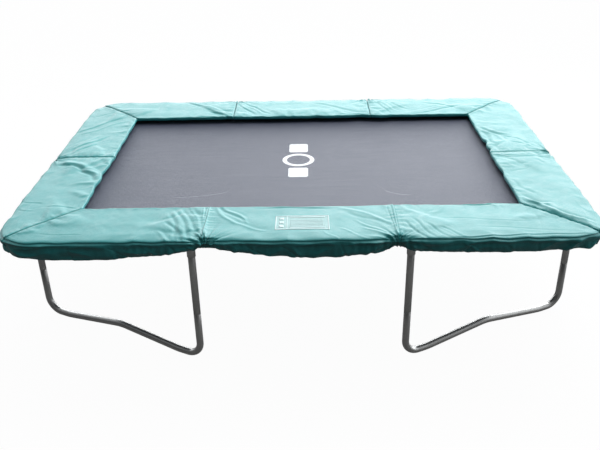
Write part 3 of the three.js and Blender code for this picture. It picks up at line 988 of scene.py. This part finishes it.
def padOutline(kind, u):
    # inner edge point, outer edge point and outward way at share u along a pad, in the back right quarter
    gap, bend = padSize["gap"], padSize["cornerBend"]
    if kind == "middle":
        x = (2 * u - 1) * seamX
        return Vector((x, padInnerY, 0)), Vector((x, padOuterY, 0)), Vector((0, 1, 0))
    start = seamX + 2 * gap if kind == "side" else gap
    outerAlong = (padOuterX if kind == "side" else padOuterY) - bend
    innerEnd = (padInnerX if kind == "side" else padInnerY) - gap
    straight, arc = outerAlong - start, bend * math.pi / 4
    travel = u * (straight + arc)
    innerAlong = start + (innerEnd - start) * u
    if travel <= straight:
        along, across, way = start + travel, 0.0, (0.0, 1.0)
    else:
        angle = (travel - straight) / bend
        along = outerAlong + bend * math.sin(angle)
        across = -bend * (1 - math.cos(angle))
        way = (math.sin(angle), math.cos(angle))
    if kind == "side":
        return Vector((innerAlong, padInnerY, 0)), Vector((along, padOuterY + across, 0)), Vector((way[0], way[1], 0))
    return Vector((padInnerX, innerAlong, 0)), Vector((padOuterX + across, along, 0)), Vector((way[1], way[0], 0))


def padShell(kind, side, sx, sy):
    length = {"middle": 2 * seamX, "side": padOuterX - seamX - 0.04, "end": padOuterY - 0.04}[kind]
    tight = [0.0, 0.0012 / length, 0.0045 / length]  # close columns hold the shape at both ends
    run = np.linspace(0.012 / length, 1 - 0.012 / length, round(length / padSize["cell"]))
    stations = tight + run.tolist() + [1 - t for t in tight[::-1]]
    points, skin, outs, along = [], [], [], []
    for u in stations:
        inner, outer, way = padOutline(kind, u)
        where = outer.x * sx if kind != "end" else outer.y * sy
        spot = np.array([where])
        for across, height, loose in padSection(float(smoothed(hemLine[side], spot)[0]), float(tied(side, spot)[0])):
            leaning = inner.lerp(outer, across / padWidth)
            square = outer - way * (padWidth - across)
            t = min(1.0, max(0.0, (across - padWidth + 0.075) / 0.045))
            point = leaning.lerp(square, t * t * (3 - 2 * t))
            points.append((point.x * sx, point.y * sy, height))
            skin.append(loose)
            outs.append((way.x * sx, way.y * sy))
            along.append(where)
    plain = [across for across, height, loose in padSection(0.66, 0.0)]  # the section away from any tie
    columns = len(stations)
    outX, outY = zip(*outs)
    attributes = dict(skin=skin, along=along, across=plain * columns, outX=outX, outY=outY)
    fromEnd = np.repeat(np.minimum(np.arange(columns), np.arange(columns)[::-1]), len(plain))
    return points, ringFaces(columns, len(plain), capped=True), attributes, fromEnd


def setAttribute(mesh, name, values):
    attribute = mesh.attributes.new(name, "FLOAT", "POINT")
    attribute.data.foreach_set("value", np.asarray(values, np.float32))


def getAttribute(mesh, name):
    values = np.empty(len(mesh.vertices), np.float32)
    mesh.attributes[name].data.foreach_get("value", values)
    return values.astype(float)


def getPoints(mesh):
    values = np.empty(len(mesh.vertices) * 3, np.float32)
    mesh.vertices.foreach_get("co", values)
    return values.reshape(-1, 3).astype(float)


def setPoints(mesh, points):
    mesh.vertices.foreach_set("co", np.asarray(points, np.float32).ravel())
    mesh.update()


coverCloth = dict(
    frames=24, quality=5, mass=0.25, gravity=0.25, pressure=0.7, slack=-0.02, bending=0.3, shear=4.0, tension=18.0,
    topReach=0.0035, skirtReach=0.007,
)


def addCloth(piece, free):
    group = piece.vertex_groups.new(name="held")
    for weight in np.unique(np.round(free, 2)):
        members = np.nonzero(np.round(free, 2) == weight)[0].tolist()
        group.add(members, float(1 - weight), "REPLACE")
    cloth = piece.modifiers.new("cloth", "CLOTH")
    settings = cloth.settings
    settings.quality = coverCloth["quality"]
    settings.mass = coverCloth["mass"]
    settings.tension_stiffness = coverCloth["tension"]
    settings.compression_stiffness = coverCloth["tension"]
    settings.shear_stiffness = coverCloth["shear"]
    settings.bending_stiffness = coverCloth["bending"]
    settings.use_pressure = True
    settings.uniform_pressure_force = coverCloth["pressure"]
    settings.shrink_min = coverCloth["slack"]
    settings.vertex_group_mass = "held"
    settings.effector_weights.gravity = coverCloth["gravity"]
    cloth.collision_settings.use_collision = False
    cloth.point_cache.frame_start = 1
    cloth.point_cache.frame_end = coverCloth["frames"]


def settleCovers(pieces):
    # all the covers swell and wrinkle together, then each is kept within reach of where it started
    scene = bpy.context.scene
    for frameNumber in range(1, coverCloth["frames"] + 1):
        scene.frame_set(frameNumber)
    graph = bpy.context.evaluated_depsgraph_get()
    for piece in pieces:
        settled = piece.evaluated_get(graph).to_mesh()
        moved = getPoints(settled)
        piece.evaluated_get(graph).to_mesh_clear()
        start = getPoints(piece.data)
        step = moved - start
        length = np.linalg.norm(step, axis=1, keepdims=True)
        skirt = start[:, 2:3] < padBase - 0.004
        reach = np.where(skirt, coverCloth["skirtReach"], coverCloth["topReach"])
        eased = reach * np.tanh(length / reach)
        step = step * np.where(length > 1e-9, eased / np.maximum(length, 1e-9), 0)
        piece.modifiers.clear()
        piece.vertex_groups.clear()
        setPoints(piece.data, start + step)
    scene.frame_set(1)


# creases on the tops: x and y of both ends, half width, depth. A negative depth is a raised fold
topCreases = [
    (-1.46, -0.11, -1.30, -0.21, 0.016, 0.008), (-1.30, -0.21, -1.20, -0.34, 0.015, 0.009),
    (-1.46, -0.085, -1.19, -0.24, 0.022, -0.007), (-1.40, -0.13, -1.22, -0.26, 0.010, -0.003),
    (-1.52, -0.62, -1.41, -0.66, 0.008, 0.0022), (-1.37, -0.69, -1.21, -0.72, 0.007, 0.0025),
    (-1.52, -0.72, -1.43, -0.75, 0.007, 0.002), (-1.30, -1.00, -1.10, -1.02, 0.006, 0.0014),
    (-0.68, -0.80, -0.61, -1.06, 0.011, 0.005), (-0.65, -0.77, -0.55, -1.05, 0.010, 0.0045),
    (-0.61, -0.76, -0.51, -1.07, 0.010, 0.004), (-0.58, -0.74, -0.49, -1.02, 0.009, -0.004),
    (-0.68, -0.90, -0.58, -1.11, 0.011, 0.006), (-0.72, -1.00, -0.60, -1.13, 0.010, -0.004),
    (-0.513, -0.715, -0.502, -1.06, 0.0035, -0.0032), (-0.505, -0.715, -0.494, -1.06, 0.0035, 0.0022),
    (-0.45, -0.74, -0.34, -0.92, 0.011, 0.0045), (-0.43, -0.73, -0.29, -0.89, 0.010, -0.004),
    (-0.38, -0.77, -0.27, -0.90, 0.009, 0.003), (-0.35, -0.91, -0.18, -0.99, 0.010, 0.0028),
    (-0.26, -0.725, 0.16, -0.738, 0.007, 0.006), (-0.20, -0.745, 0.12, -0.755, 0.008, -0.002),
    (0.22, -0.75, 0.46, -0.92, 0.013, 0.005), (0.25, -0.80, 0.44, -0.95, 0.013, -0.003),
    (0.29, -0.90, 0.43, -1.03, 0.008, 0.003), (0.32, -0.97, 0.46, -1.08, 0.008, 0.0035),
    (0.20, -0.98, 0.34, -1.08, 0.007, 0.0022), (0.12, -1.01, 0.18, -1.08, 0.007, 0.0022),
    (0.456, -0.715, 0.470, -1.06, 0.0035, -0.0030), (0.464, -0.715, 0.478, -1.06, 0.0030, 0.0018),
    (0.53, -0.93, 0.62, -1.09, 0.008, 0.004), (0.57, -0.90, 0.66, -1.07, 0.008, 0.0035),
    (0.58, -0.96, 0.67, -0.83, 0.015, -0.004), (0.67, -0.83, 0.76, -0.75, 0.014, -0.0035),
    (0.63, -0.95, 0.73, -1.07, 0.008, 0.003), (0.70, -0.98, 0.80, -1.07, 0.007, 0.0025),
    (0.66, -0.722, 1.06, -0.728, 0.007, 0.005), (0.73, -0.88, 1.12, -0.92, 0.006, 0.0012),
    (0.92, -0.98, 1.28, -1.02, 0.006, 0.0013), (1.21, -0.80, 1.19, -0.98, 0.010, 0.0015),
    (0.80, -1.070, 1.38, -1.056, 0.005, 0.004),
    (1.19, -0.07, 1.48, -0.11, 0.012, 0.004), (1.19, -0.05, 1.41, -0.075, 0.007, 0.005),
    (1.18, -0.66, 1.30, -0.74, 0.016, -0.014), (1.20, -0.70, 1.44, -0.93, 0.013, -0.012),
    (-1.25, 0.88, -1.48, 0.75, 0.010, 0.0035), (-1.51, 0.46, -1.27, 0.70, 0.011, 0.005),
    (-1.48, 0.42, -1.24, 0.64, 0.013, -0.004), (-1.46, 0.10, -1.30, 0.33, 0.012, 0.006),
    (-1.42, 0.07, -1.34, 0.20, 0.009, 0.004), (-1.48, 0.16, -1.36, 0.36, 0.012, -0.004),
    (-0.85, 1.03, -0.56, 0.77, 0.013, 0.005), (-0.66, 0.83, -0.50, 0.69, 0.010, 0.006),
    (-0.80, 1.02, -0.53, 0.80, 0.012, -0.004), (-0.74, 0.725, -0.50, 0.705, 0.009, 0.006),
    (-0.46, 0.98, -0.35, 0.77, 0.010, 0.005), (-0.38, 0.94, -0.24, 0.78, 0.010, 0.0045),
    (-0.42, 0.99, -0.30, 0.80, 0.011, -0.004), (0.25, 0.75, 0.47, 0.735, 0.009, 0.005),
    (0.10, 0.98, 0.43, 0.78, 0.014, 0.004), (0.55, 0.99, 0.61, 0.78, 0.009, 0.004),
    (0.62, 1.01, 0.74, 0.84, 0.010, 0.004), (0.58, 0.98, 0.68, 0.80, 0.010, -0.003),
    (0.80, 0.74, 1.15, 0.88, 0.012, 0.005), (0.90, 0.97, 1.10, 0.87, 0.012, 0.004),
    (0.78, 0.78, 1.08, 0.90, 0.011, -0.003), (1.19, 0.42, 1.31, 0.29, 0.013, 0.008),
    (1.31, 0.29, 1.47, 0.06, 0.010, 0.003), (1.19, 0.35, 1.22, 0.15, 0.013, 0.008),
    (1.34, 0.16, 1.46, 0.05, 0.008, 0.003), (1.22, 0.36, 1.30, 0.20, 0.013, -0.005),
    (1.23, -0.31, 1.35, -0.23, 0.010, 0.002), (1.20, -0.46, 1.26, -0.60, 0.012, 0.003),
]
# dents in the inner edges: side, place along it, depth, half width
innerNotches = [
    ("right", 0.26, 0.016, 0.055), ("right", 0.08, 0.010, 0.035), ("right", -0.10, -0.006, 0.050),
    ("right", -0.42, 0.008, 0.050), ("left", 0.02, -0.008, 0.030), ("left", -0.34, 0.012, 0.060),
    ("left", -0.60, 0.010, 0.080), ("back", -0.56, 0.012, 0.060), ("back", -0.80, 0.006, 0.060),
    ("back", 0.40, 0.012, 0.060), ("back", 0.10, 0.008, 0.040), ("back", 0.58, -0.006, 0.050),
]
# seams between the pads: x and y of both ends, how deep the valley is, how puckered
seams = [
    (-seamX, -padOuterY, -seamX, -padInnerY, 0.9, 0.7), (seamX, -padOuterY, seamX, -padInnerY, 0.9, 0.8),
    (-seamX, padInnerY, -seamX, padOuterY, 1.0, 1.0), (seamX, padInnerY, seamX, padOuterY, 1.0, 0.9),
    (-padOuterX, 0, -padInnerX, 0, 1.3, 0.6), (padInnerX, 0, padOuterX, 0, 1.1, 0.7),
    (-padInnerX, -padInnerY, -padOuterX, -padOuterY, 0.7, 0.6),
    (padInnerX, -padInnerY, padOuterX, -padOuterY, 1.9, 0.7),
    (-padInnerX, padInnerY, -padOuterX, padOuterY, 1.5, 0.6), (padInnerX, padInnerY, padOuterX, padOuterY, 1.2, 1.0),
]


def strokeField(x, y, x0, y0, x1, y1):
    # how far along a stroke each point lies, as a share of its length, and how far to one side
    length = math.hypot(x1 - x0, y1 - y0)
    dx, dy = (x1 - x0) / length, (y1 - y0) / length
    return ((x - x0) * dx + (y - y0) * dy) / length, -(x - x0) * dy + (y - y0) * dx


def creaseHeight(x, y, draw):
    height = np.zeros_like(x)
    for stroke in topCreases:
        width, depth = stroke[4:]
        phase, bow = draw.uniform(0, 6.28), draw.normal(0, 0.25)
        t, aside = strokeField(x, y, *stroke[:4])
        near = (t > -0.25) & (t < 1.25) & (np.abs(aside) < 6 * width)
        if not near.any():
            continue
        tt, a = t[near], aside[near]
        inside = np.clip(tt, 0, 1)
        a = a + width * (0.9 * np.sin(phase + 5.0 * tt) + 4 * bow * inside * (1 - inside))
        fade = np.clip(np.minimum((tt + 0.2) / 0.35, (1.2 - tt) / 0.35), 0, 1)
        fade = fade * fade * (3 - 2 * fade)
        groove = np.exp(-((a / width) ** 2)) - 0.45 * np.exp(-(((a - 1.9 * width) / (1.1 * width)) ** 2))
        height[near] -= padSize["creaseShare"] * depth * fade * groove
    return height


def seamHeight(x, y, draw):
    height = np.zeros_like(x)
    for x0, y0, x1, y1, depth, pucker in seams:
        phases, waves = draw.uniform(0, 6.28, 5), draw.uniform(90, 260, 5)
        t, aside = strokeField(x, y, x0, y0, x1, y1)
        near = (t > -0.08) & (t < 1.08) & (np.abs(aside) < 0.16)
        if not near.any():
            continue
        a, s = np.abs(aside[near]), t[near] * math.hypot(x1 - x0, y1 - y0)
        valley = padSize["seamDrop"] * depth * np.exp(-((a / (padSize["seamReach"] * (0.6 + 0.4 * depth))) ** 1.3))
        side = np.where(aside[near] > 0, 0.0, 1.7)
        ripple = sum(np.sin(k * s + p + side + 18 * a) for k, p in zip(waves, phases)) / 2.2
        height[near] -= valley
        height[near] += padSize["pucker"] * pucker * ripple * np.exp(-a / 0.035) * (1 - np.exp(-a / 0.004))
    return height


def softNoise(x, y, draw, size, count=26):
    # a smooth uneven surface about 1 high, from waves in all directions
    total = np.zeros_like(x)
    for _ in range(count):
        angle, phase = draw.uniform(0, math.pi), draw.uniform(0, 6.28)
        k = 2 * math.pi / (size * draw.uniform(0.6, 1.7))
        total += np.sin(k * (x * math.cos(angle) + y * math.sin(angle)) + phase)
    return total / math.sqrt(count / 2)


def tieGathers(x, y, draw):
    # folds that fan out from each tie over the cover's edge
    height = np.zeros_like(x)
    for side, centre, strength, width in ties:
        sign = -1 if side in ("front", "left") else 1
        spot = (centre, sign * padOuterY) if side in ("front", "back") else (sign * padOuterX, centre)
        phases, counts = draw.uniform(0, 6.28, 4), (9, 14, 21, 29)
        dx, dy = x - spot[0], y - spot[1]
        reach = np.hypot(dx, dy)
        near = reach < 0.34
        if not near.any():
            continue
        angle = np.arctan2(dy[near], dx[near]) * sign
        r = reach[near]
        fan = sum(w * np.sin(n * angle + p + 14 * r) for n, p, w in zip(counts, phases, (0.9, 1.0, 0.7, 0.4)))
        bunch = padSize["gather"] * np.exp(-r / 0.075) + padSize["knot"] * np.exp(-((r / 0.045) ** 2))
        height[near] += bunch * strength * fan * np.clip(r / 0.016, 0, 1)
    return height


# single folds in the skirt: side, place at the top, place at the hem, half width, depth
skirtCreases = [
    ("front", -1.16, -1.14, 0.010, 0.003), ("front", -0.93, -0.91, 0.012, 0.006), ("front", -0.98, -0.86, 0.010, 0.004),
    ("front", -0.80, -0.70, 0.012, -0.004), ("front", -0.66, -0.60, 0.010, 0.006),
    ("front", -0.58, -0.50, 0.010, -0.006),
    ("front", -0.30, -0.18, 0.012, 0.004), ("front", -0.12, -0.02, 0.012, 0.004), ("front", -0.06, 0.00, 0.010, -0.003),
    ("front", 0.19, 0.22, 0.007, 0.005), ("front", 0.30, 0.24, 0.010, -0.004), ("front", 0.42, 0.34, 0.010, 0.006),
    ("front", 0.58, 0.66, 0.012, 0.006), ("front", 0.78, 0.90, 0.012, -0.005), ("front", 0.86, 0.80, 0.010, 0.005),
    ("front", 0.98, 1.06, 0.012, 0.004), ("front", 1.16, 1.17, 0.008, 0.004), ("front", 1.36, 1.26, 0.010, 0.005),
    ("right", -0.96, -0.88, 0.014, 0.006), ("right", -0.55, -0.50, 0.014, 0.004), ("right", 0.45, 0.52, 0.014, 0.004),
    ("left", -0.60, -0.66, 0.014, 0.004), ("left", 0.48, 0.40, 0.014, 0.005), ("back", -0.95, -0.90, 0.014, 0.005),
    ("back", 0.15, 0.05, 0.014, 0.005), ("back", 0.92, 1.00, 0.014, 0.005),
]


def skirtFolds(side, along, down, draw):
    # hanging folds: broad and shallow between ties, tight and deep beside them
    pull = tied(side, along)
    near = np.zeros_like(along)
    for tieSide, centre, strength, width in ties:
        if tieSide == side:
            near = np.maximum(near, strength * np.exp(-np.abs(along - centre) / 0.13))
    broad, fine = np.zeros_like(along), np.zeros_like(along)
    for _ in range(7):
        k, p, lean = draw.uniform(14, 46), draw.uniform(0, 6.28), draw.uniform(-12, 12)
        broad += np.sin(k * along + p + lean * down)
    for _ in range(7):
        k, p, lean = draw.uniform(90, 230), draw.uniform(0, 6.28), draw.uniform(-40, 40)
        fine += np.sin(k * along + p + lean * down)
    depth = np.clip(down / 0.03, 0, 1)
    sharp = np.sign(fine) * np.abs(fine / 2.6) ** 1.3
    share = np.clip(down / 0.09, 0, 1)
    for creaseSide, high, low, width, deep in skirtCreases:
        if creaseSide == side:
            aside = along - high - (low - high) * share
            broad -= deep * padSize["foldShare"] * np.exp(-((aside / width) ** 2)) * (0.35 + 0.65 * share)
    # the cover's edge rolls over above the skirt, more in some places, most at the corners and the ties
    ends = np.clip((np.abs(along) - (1.16 if side in ("front", "back") else 0.72)) / 0.22, 0, 1)
    swell = sum(np.sin(draw.uniform(5, 22) * along + draw.uniform(0, 6.28)) for _ in range(4)) / 2.4
    roll = padSize["roll"] * np.clip(0.45 + 0.5 * swell + 0.7 * near + 0.6 * ends, 0, 1.3)
    level = 0.010 + 0.006 * np.sin(9 * along + draw.uniform(0, 6.28))
    rolled = roll * np.exp(-(((down - level) / 0.013) ** 2)) * (1 - 0.7 * pull)
    crumpled = 0.45 - np.abs(softNoise(along + 0.5 * down, 1.7 * down, draw, 0.20, 9))
    crumpled = padSize["crumple"] * crumpled * np.clip(down / 0.012, 0, 1) * (1 + 0.6 * ends)
    plain, gathered = padSize["pleat"]
    pleats = sharp * (plain + gathered * near) * np.clip(0.35 + down / 0.03, 0, 1)
    return broad / 2.6 * padSize["hang"] * depth + pleats + rolled + crumpled - 0.001 * pull


def innerWave(side, along, draw):
    # the inner edge wanders in and out a little, more where a fold is pressed into it
    wave = np.zeros_like(along)
    for _ in range(6):
        wave += np.sin(draw.uniform(8, 42) * along + draw.uniform(0, 6.28)) / 2.4
    wave *= padSize["edgeWave"]
    for noteSide, centre, depth, width in innerNotches:
        if noteSide == side:
            wave += depth * np.exp(-(((along - centre) / width) ** 2))
    return wave


def pastRails(points, ways, outward):
    # how far each point of a skirt must go outward to lie outside the rails, sleeves and sockets
    x, y, z = points.T
    clear = padSize["clear"] + padSize["cloth"] * np.clip(0.5 + 0.8 * outward, 0, 1)
    bend = railSize["bend"]
    qx, qy = np.abs(x) - (railX - bend), np.abs(y) - (railY - bend)
    out = np.hypot(np.maximum(qx, 0), np.maximum(qy, 0)) + np.minimum(np.maximum(qx, qy), 0) - bend
    radius = np.where((np.abs(y) < sleeveReach) & (qx > 0), sleeveRadius, tubeRadius) + clear
    wanted = np.sqrt(np.maximum(radius ** 2 - (z - railZ) ** 2, 0))
    step = np.where(np.abs(z - railZ) < radius, wanted - out, 0)
    for post in (postIn, postOut):
        dx, dy = x - np.sign(x) * post.x, y - np.sign(y) * post.y
        ahead = dx * ways[:, 0] + dy * ways[:, 1]
        aside = dx * ways[:, 1] - dy * ways[:, 0]
        ring = socketRadius + 0.0015 + clear
        wanted = np.sqrt(np.maximum(ring ** 2 - aside ** 2, 0))
        step = np.maximum(step, np.where((np.abs(aside) < ring) & (z < railZ), wanted - ahead, 0))
    return np.clip(step, 0, 0.03)


def finishCover(piece, side, seed):
    # finer mesh, then valleys at the seams, creases, gathers and folds, all along the cover's own faces
    smoother = piece.modifiers.new("smooth", "SUBSURF")
    smoother.levels = smoother.render_levels = padSize["smoothing"]
    graph = bpy.context.evaluated_depsgraph_get()
    fine = bpy.data.meshes.new_from_object(piece.evaluated_get(graph))
    piece.modifiers.clear()
    piece.data = fine
    points = getPoints(fine)
    normals = np.empty(len(fine.vertices) * 3, np.float32)
    fine.vertices.foreach_get("normal", normals)
    normals = normals.reshape(-1, 3).astype(float)
    skin, along, across = (getAttribute(fine, name) for name in ("skin", "along", "across"))
    ways = np.stack([getAttribute(fine, "outX"), getAttribute(fine, "outY"), np.zeros(len(points))], 1)
    ways /= np.maximum(np.linalg.norm(ways, axis=1, keepdims=True), 1e-6)
    x, y, z = points.T
    skirt = np.clip((padTop - 0.014 - z) / 0.008, 0, 1) * (across > padWidth - 0.06)
    top = np.clip((z - padBase - 0.003) / 0.014, 0, 1) * skin * (1 - skirt)
    draw = np.random.default_rng(seed)
    # the same draw on every pad, so that both sides of a seam agree
    shared = np.random.default_rng(padSize["sharedSeed"])
    lift = creaseHeight(x, y, shared) + seamHeight(x, y, shared)
    broad, fineShare = padSize["unevenness"]
    lift += broad * softNoise(x, y, shared, 0.22) + fineShare * softNoise(x, y, shared, 0.06)
    gathers = tieGathers(x, y, shared)
    move = normals * ((lift * top)[:, None]) + normals * (gathers * np.clip(top + 0.6 * skirt, 0, 1) * skin)[:, None]
    down = np.maximum(padTop - 0.016 - z, 0)
    rim = np.clip(1 - across / 0.045, 0, 1) * (z > padBase - 0.004)
    move += ways * (innerWave(side, along, draw) * rim)[:, None]
    move += ways * (skirtFolds(side, along, down, draw) * skirt * np.clip(skin + 0.9, 0, 1))[:, None]
    # the outer edge dips and wanders a little along its length
    edge = np.clip((across - padWidth + 0.075) / 0.055, 0, 1) * np.clip((z - padBase + 0.03) / 0.03, 0, 1) * skin
    waves = [
        sum(np.sin(shared.uniform(9, 48) * along + shared.uniform(0, 6.28)) for _ in range(5)) / 2.2 for _ in range(2)
    ]
    move[:, 2] -= padSize["edgeDip"] * np.abs(waves[0]) * edge
    move += ways * (0.8 * padSize["edgeDip"] * waves[1] * edge)[:, None]
    outward = (normals * ways).sum(1)
    hanging = (across > padWidth - 0.045) & (z < padBase - 0.002)
    move += ways * (pastRails(points + move, ways, outward) * hanging)[:, None]
    setPoints(fine, points + move)
    fine.shade_smooth()


padKinds = [("pad_middle_front", "middle", "front", 1, -1), ("pad_middle_back", "middle", "back", 1, 1)]
for corner, sx, sy in quarters:
    padKinds.append(("pad_side_" + corner, "side", corner.split("_")[0], sx, sy))
    padKinds.append(("pad_end_" + corner, "end", corner.split("_")[1], sx, sy))


def makePads():
    pieces = []
    for name, kind, side, sx, sy in padKinds:
        points, faces, attributes, fromEnd = padShell(kind, side, sx, sy)
        piece = makePiece("cover_" + name, points, faces, "pad_cover", None)
        for key, values in attributes.items():
            setAttribute(piece.data, key, values)
        ends = np.clip((fromEnd - 2) / 3, 0, 1)
        addCloth(piece, np.array(attributes["skin"]) * (0.15 + 0.85 * ends) * (ends > 0))
        pieces.append((piece, name, side))
    settleCovers([piece for piece, name, side in pieces])
    print("covers settled")
    for number, (piece, name, side) in enumerate(pieces):
        finishCover(piece, side, padSize["seed"] + number)
        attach(piece, "frame")
        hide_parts(name)
    return {name: piece for piece, name, side in pieces}


pads = makePads()
print("pads made")

# ---- panel printed on the front pad

panelSize = dict(
    left=-0.130, right=0.145, front=-0.985, back=-0.835, lift=0.0006, thickness=0.0004, cell=0.006, border=0.006,
)


def layOn(tree, x0, x1, y0, y1, lift):
    # a thin patch that follows the pad's top
    cols = max(2, round((x1 - x0) / panelSize["cell"])) + 1
    rows = max(2, round((y1 - y0) / panelSize["cell"])) + 1
    upper, lower = [], []
    for j in range(rows):
        for i in range(cols):
            above = Vector((x0 + (x1 - x0) * i / (cols - 1), y0 + (y1 - y0) * j / (rows - 1), padTop + 0.1))
            spot = tree.ray_cast(above, -up)[0]
            upper.append(spot + up * (lift + panelSize["thickness"]))
            lower.append(spot + up * lift)
    return upper + lower, slabFaces(rows, cols)


def makePanel():
    tree = BVHTree.FromObject(pads["pad_middle_front"], bpy.context.evaluated_depsgraph_get())
    size = panelSize
    x0, x1, y0, y1, edge = size["left"], size["right"], size["front"], size["back"], size["border"]
    points, faces = layOn(tree, x0, x1, y0, y1, 0.0)
    makePiece("plain_panel", points, faces, "pad_cover", material=panelMaterial)
    strips = [(x0, x1, y0, y0 + edge), (x0, x1, y1 - edge, y1), (x0, x0 + edge, y0, y1), (x1 - edge, x1, y0, y1)]
    strips += [(x0 + 0.058, x0 + 0.062, y0, y1), (x0 + 0.075, x1 - 0.02, y1 - 0.022, y1 - 0.014)]
    strips += [(x0 + 0.075, x1 - 0.02, y0 + 0.014, y0 + 0.022)]
    strips += [(x0 + 0.075, x1 - 0.03, y0 + 0.034 + 0.016 * k, y0 + 0.037 + 0.016 * k) for k in range(5)]
    strips += [(x0 + 0.020, x0 + 0.044, y0 + 0.020 + 0.042 * k, y0 + 0.044 + 0.042 * k) for k in range(3)]
    lines = Shell()
    for strip in strips:
        lines.add(*layOn(tree, *strip, size["lift"]))
    makePiece("panel_outline", lines.points, lines.faces, "pad_cover", material=outlineMaterial)


makePanel()
print("panel made")

# ---- ties round the rails under the pad seams

tieSize = dict(width=0.025, thickness=0.0015, edge=0.0004, tail=0.036, tailThickness=0.0013, sides=48, tailSteps=12)


def makeTies():
    size = tieSize
    half, inner, edge = size["width"] / 2, tubeRadius + 0.0003, size["edge"]
    outer = inner + size["thickness"]
    profile = [(inner, -half), (outer - edge, -half), (outer, -half + edge)]
    profile += [(outer + 0.0002, -half * 0.5), (outer, 0), (outer + 0.0002, half * 0.5), (outer, half - edge)]
    profile += [(outer - edge, half), (inner, half)]
    for corner, sx, sy in quarters:
        name = "pad_strap_" + corner
        centre = middle(name)
        loop = []
        for i in range(size["sides"]):
            angle = 2 * math.pi * i / size["sides"]
            for radius, x in profile:
                loop.append((centre.x + x, centre.y + radius * math.cos(angle), centre.z + radius * math.sin(angle)))
        shell = Shell()
        shell.add(loop, ringFaces(size["sides"], len(profile), closed=True))
        # the tail hangs on the bed's side of the rail and is sewn to the loop
        tail = []
        left, right = centre.x - half * 0.96, centre.x + half * 0.96
        for t in np.linspace(0, 1, size["tailSteps"]):
            y = centre.y - sy * (outer + 0.0012 + 0.004 * math.sin(2.4 * t))
            z = centre.z + 0.004 - size["tail"] * t
            behind = y - sy * size["tailThickness"]
            tail += [(left, y, z), (right, y, z), (right, behind, z), (left, behind, z)]
        shell.add(tail, ringFaces(size["tailSteps"], 4, capped=True))
        makePiece("tie_" + corner, shell.points, shell.faces, "webbing", stands=[name])


makeTies()
print("ties made")
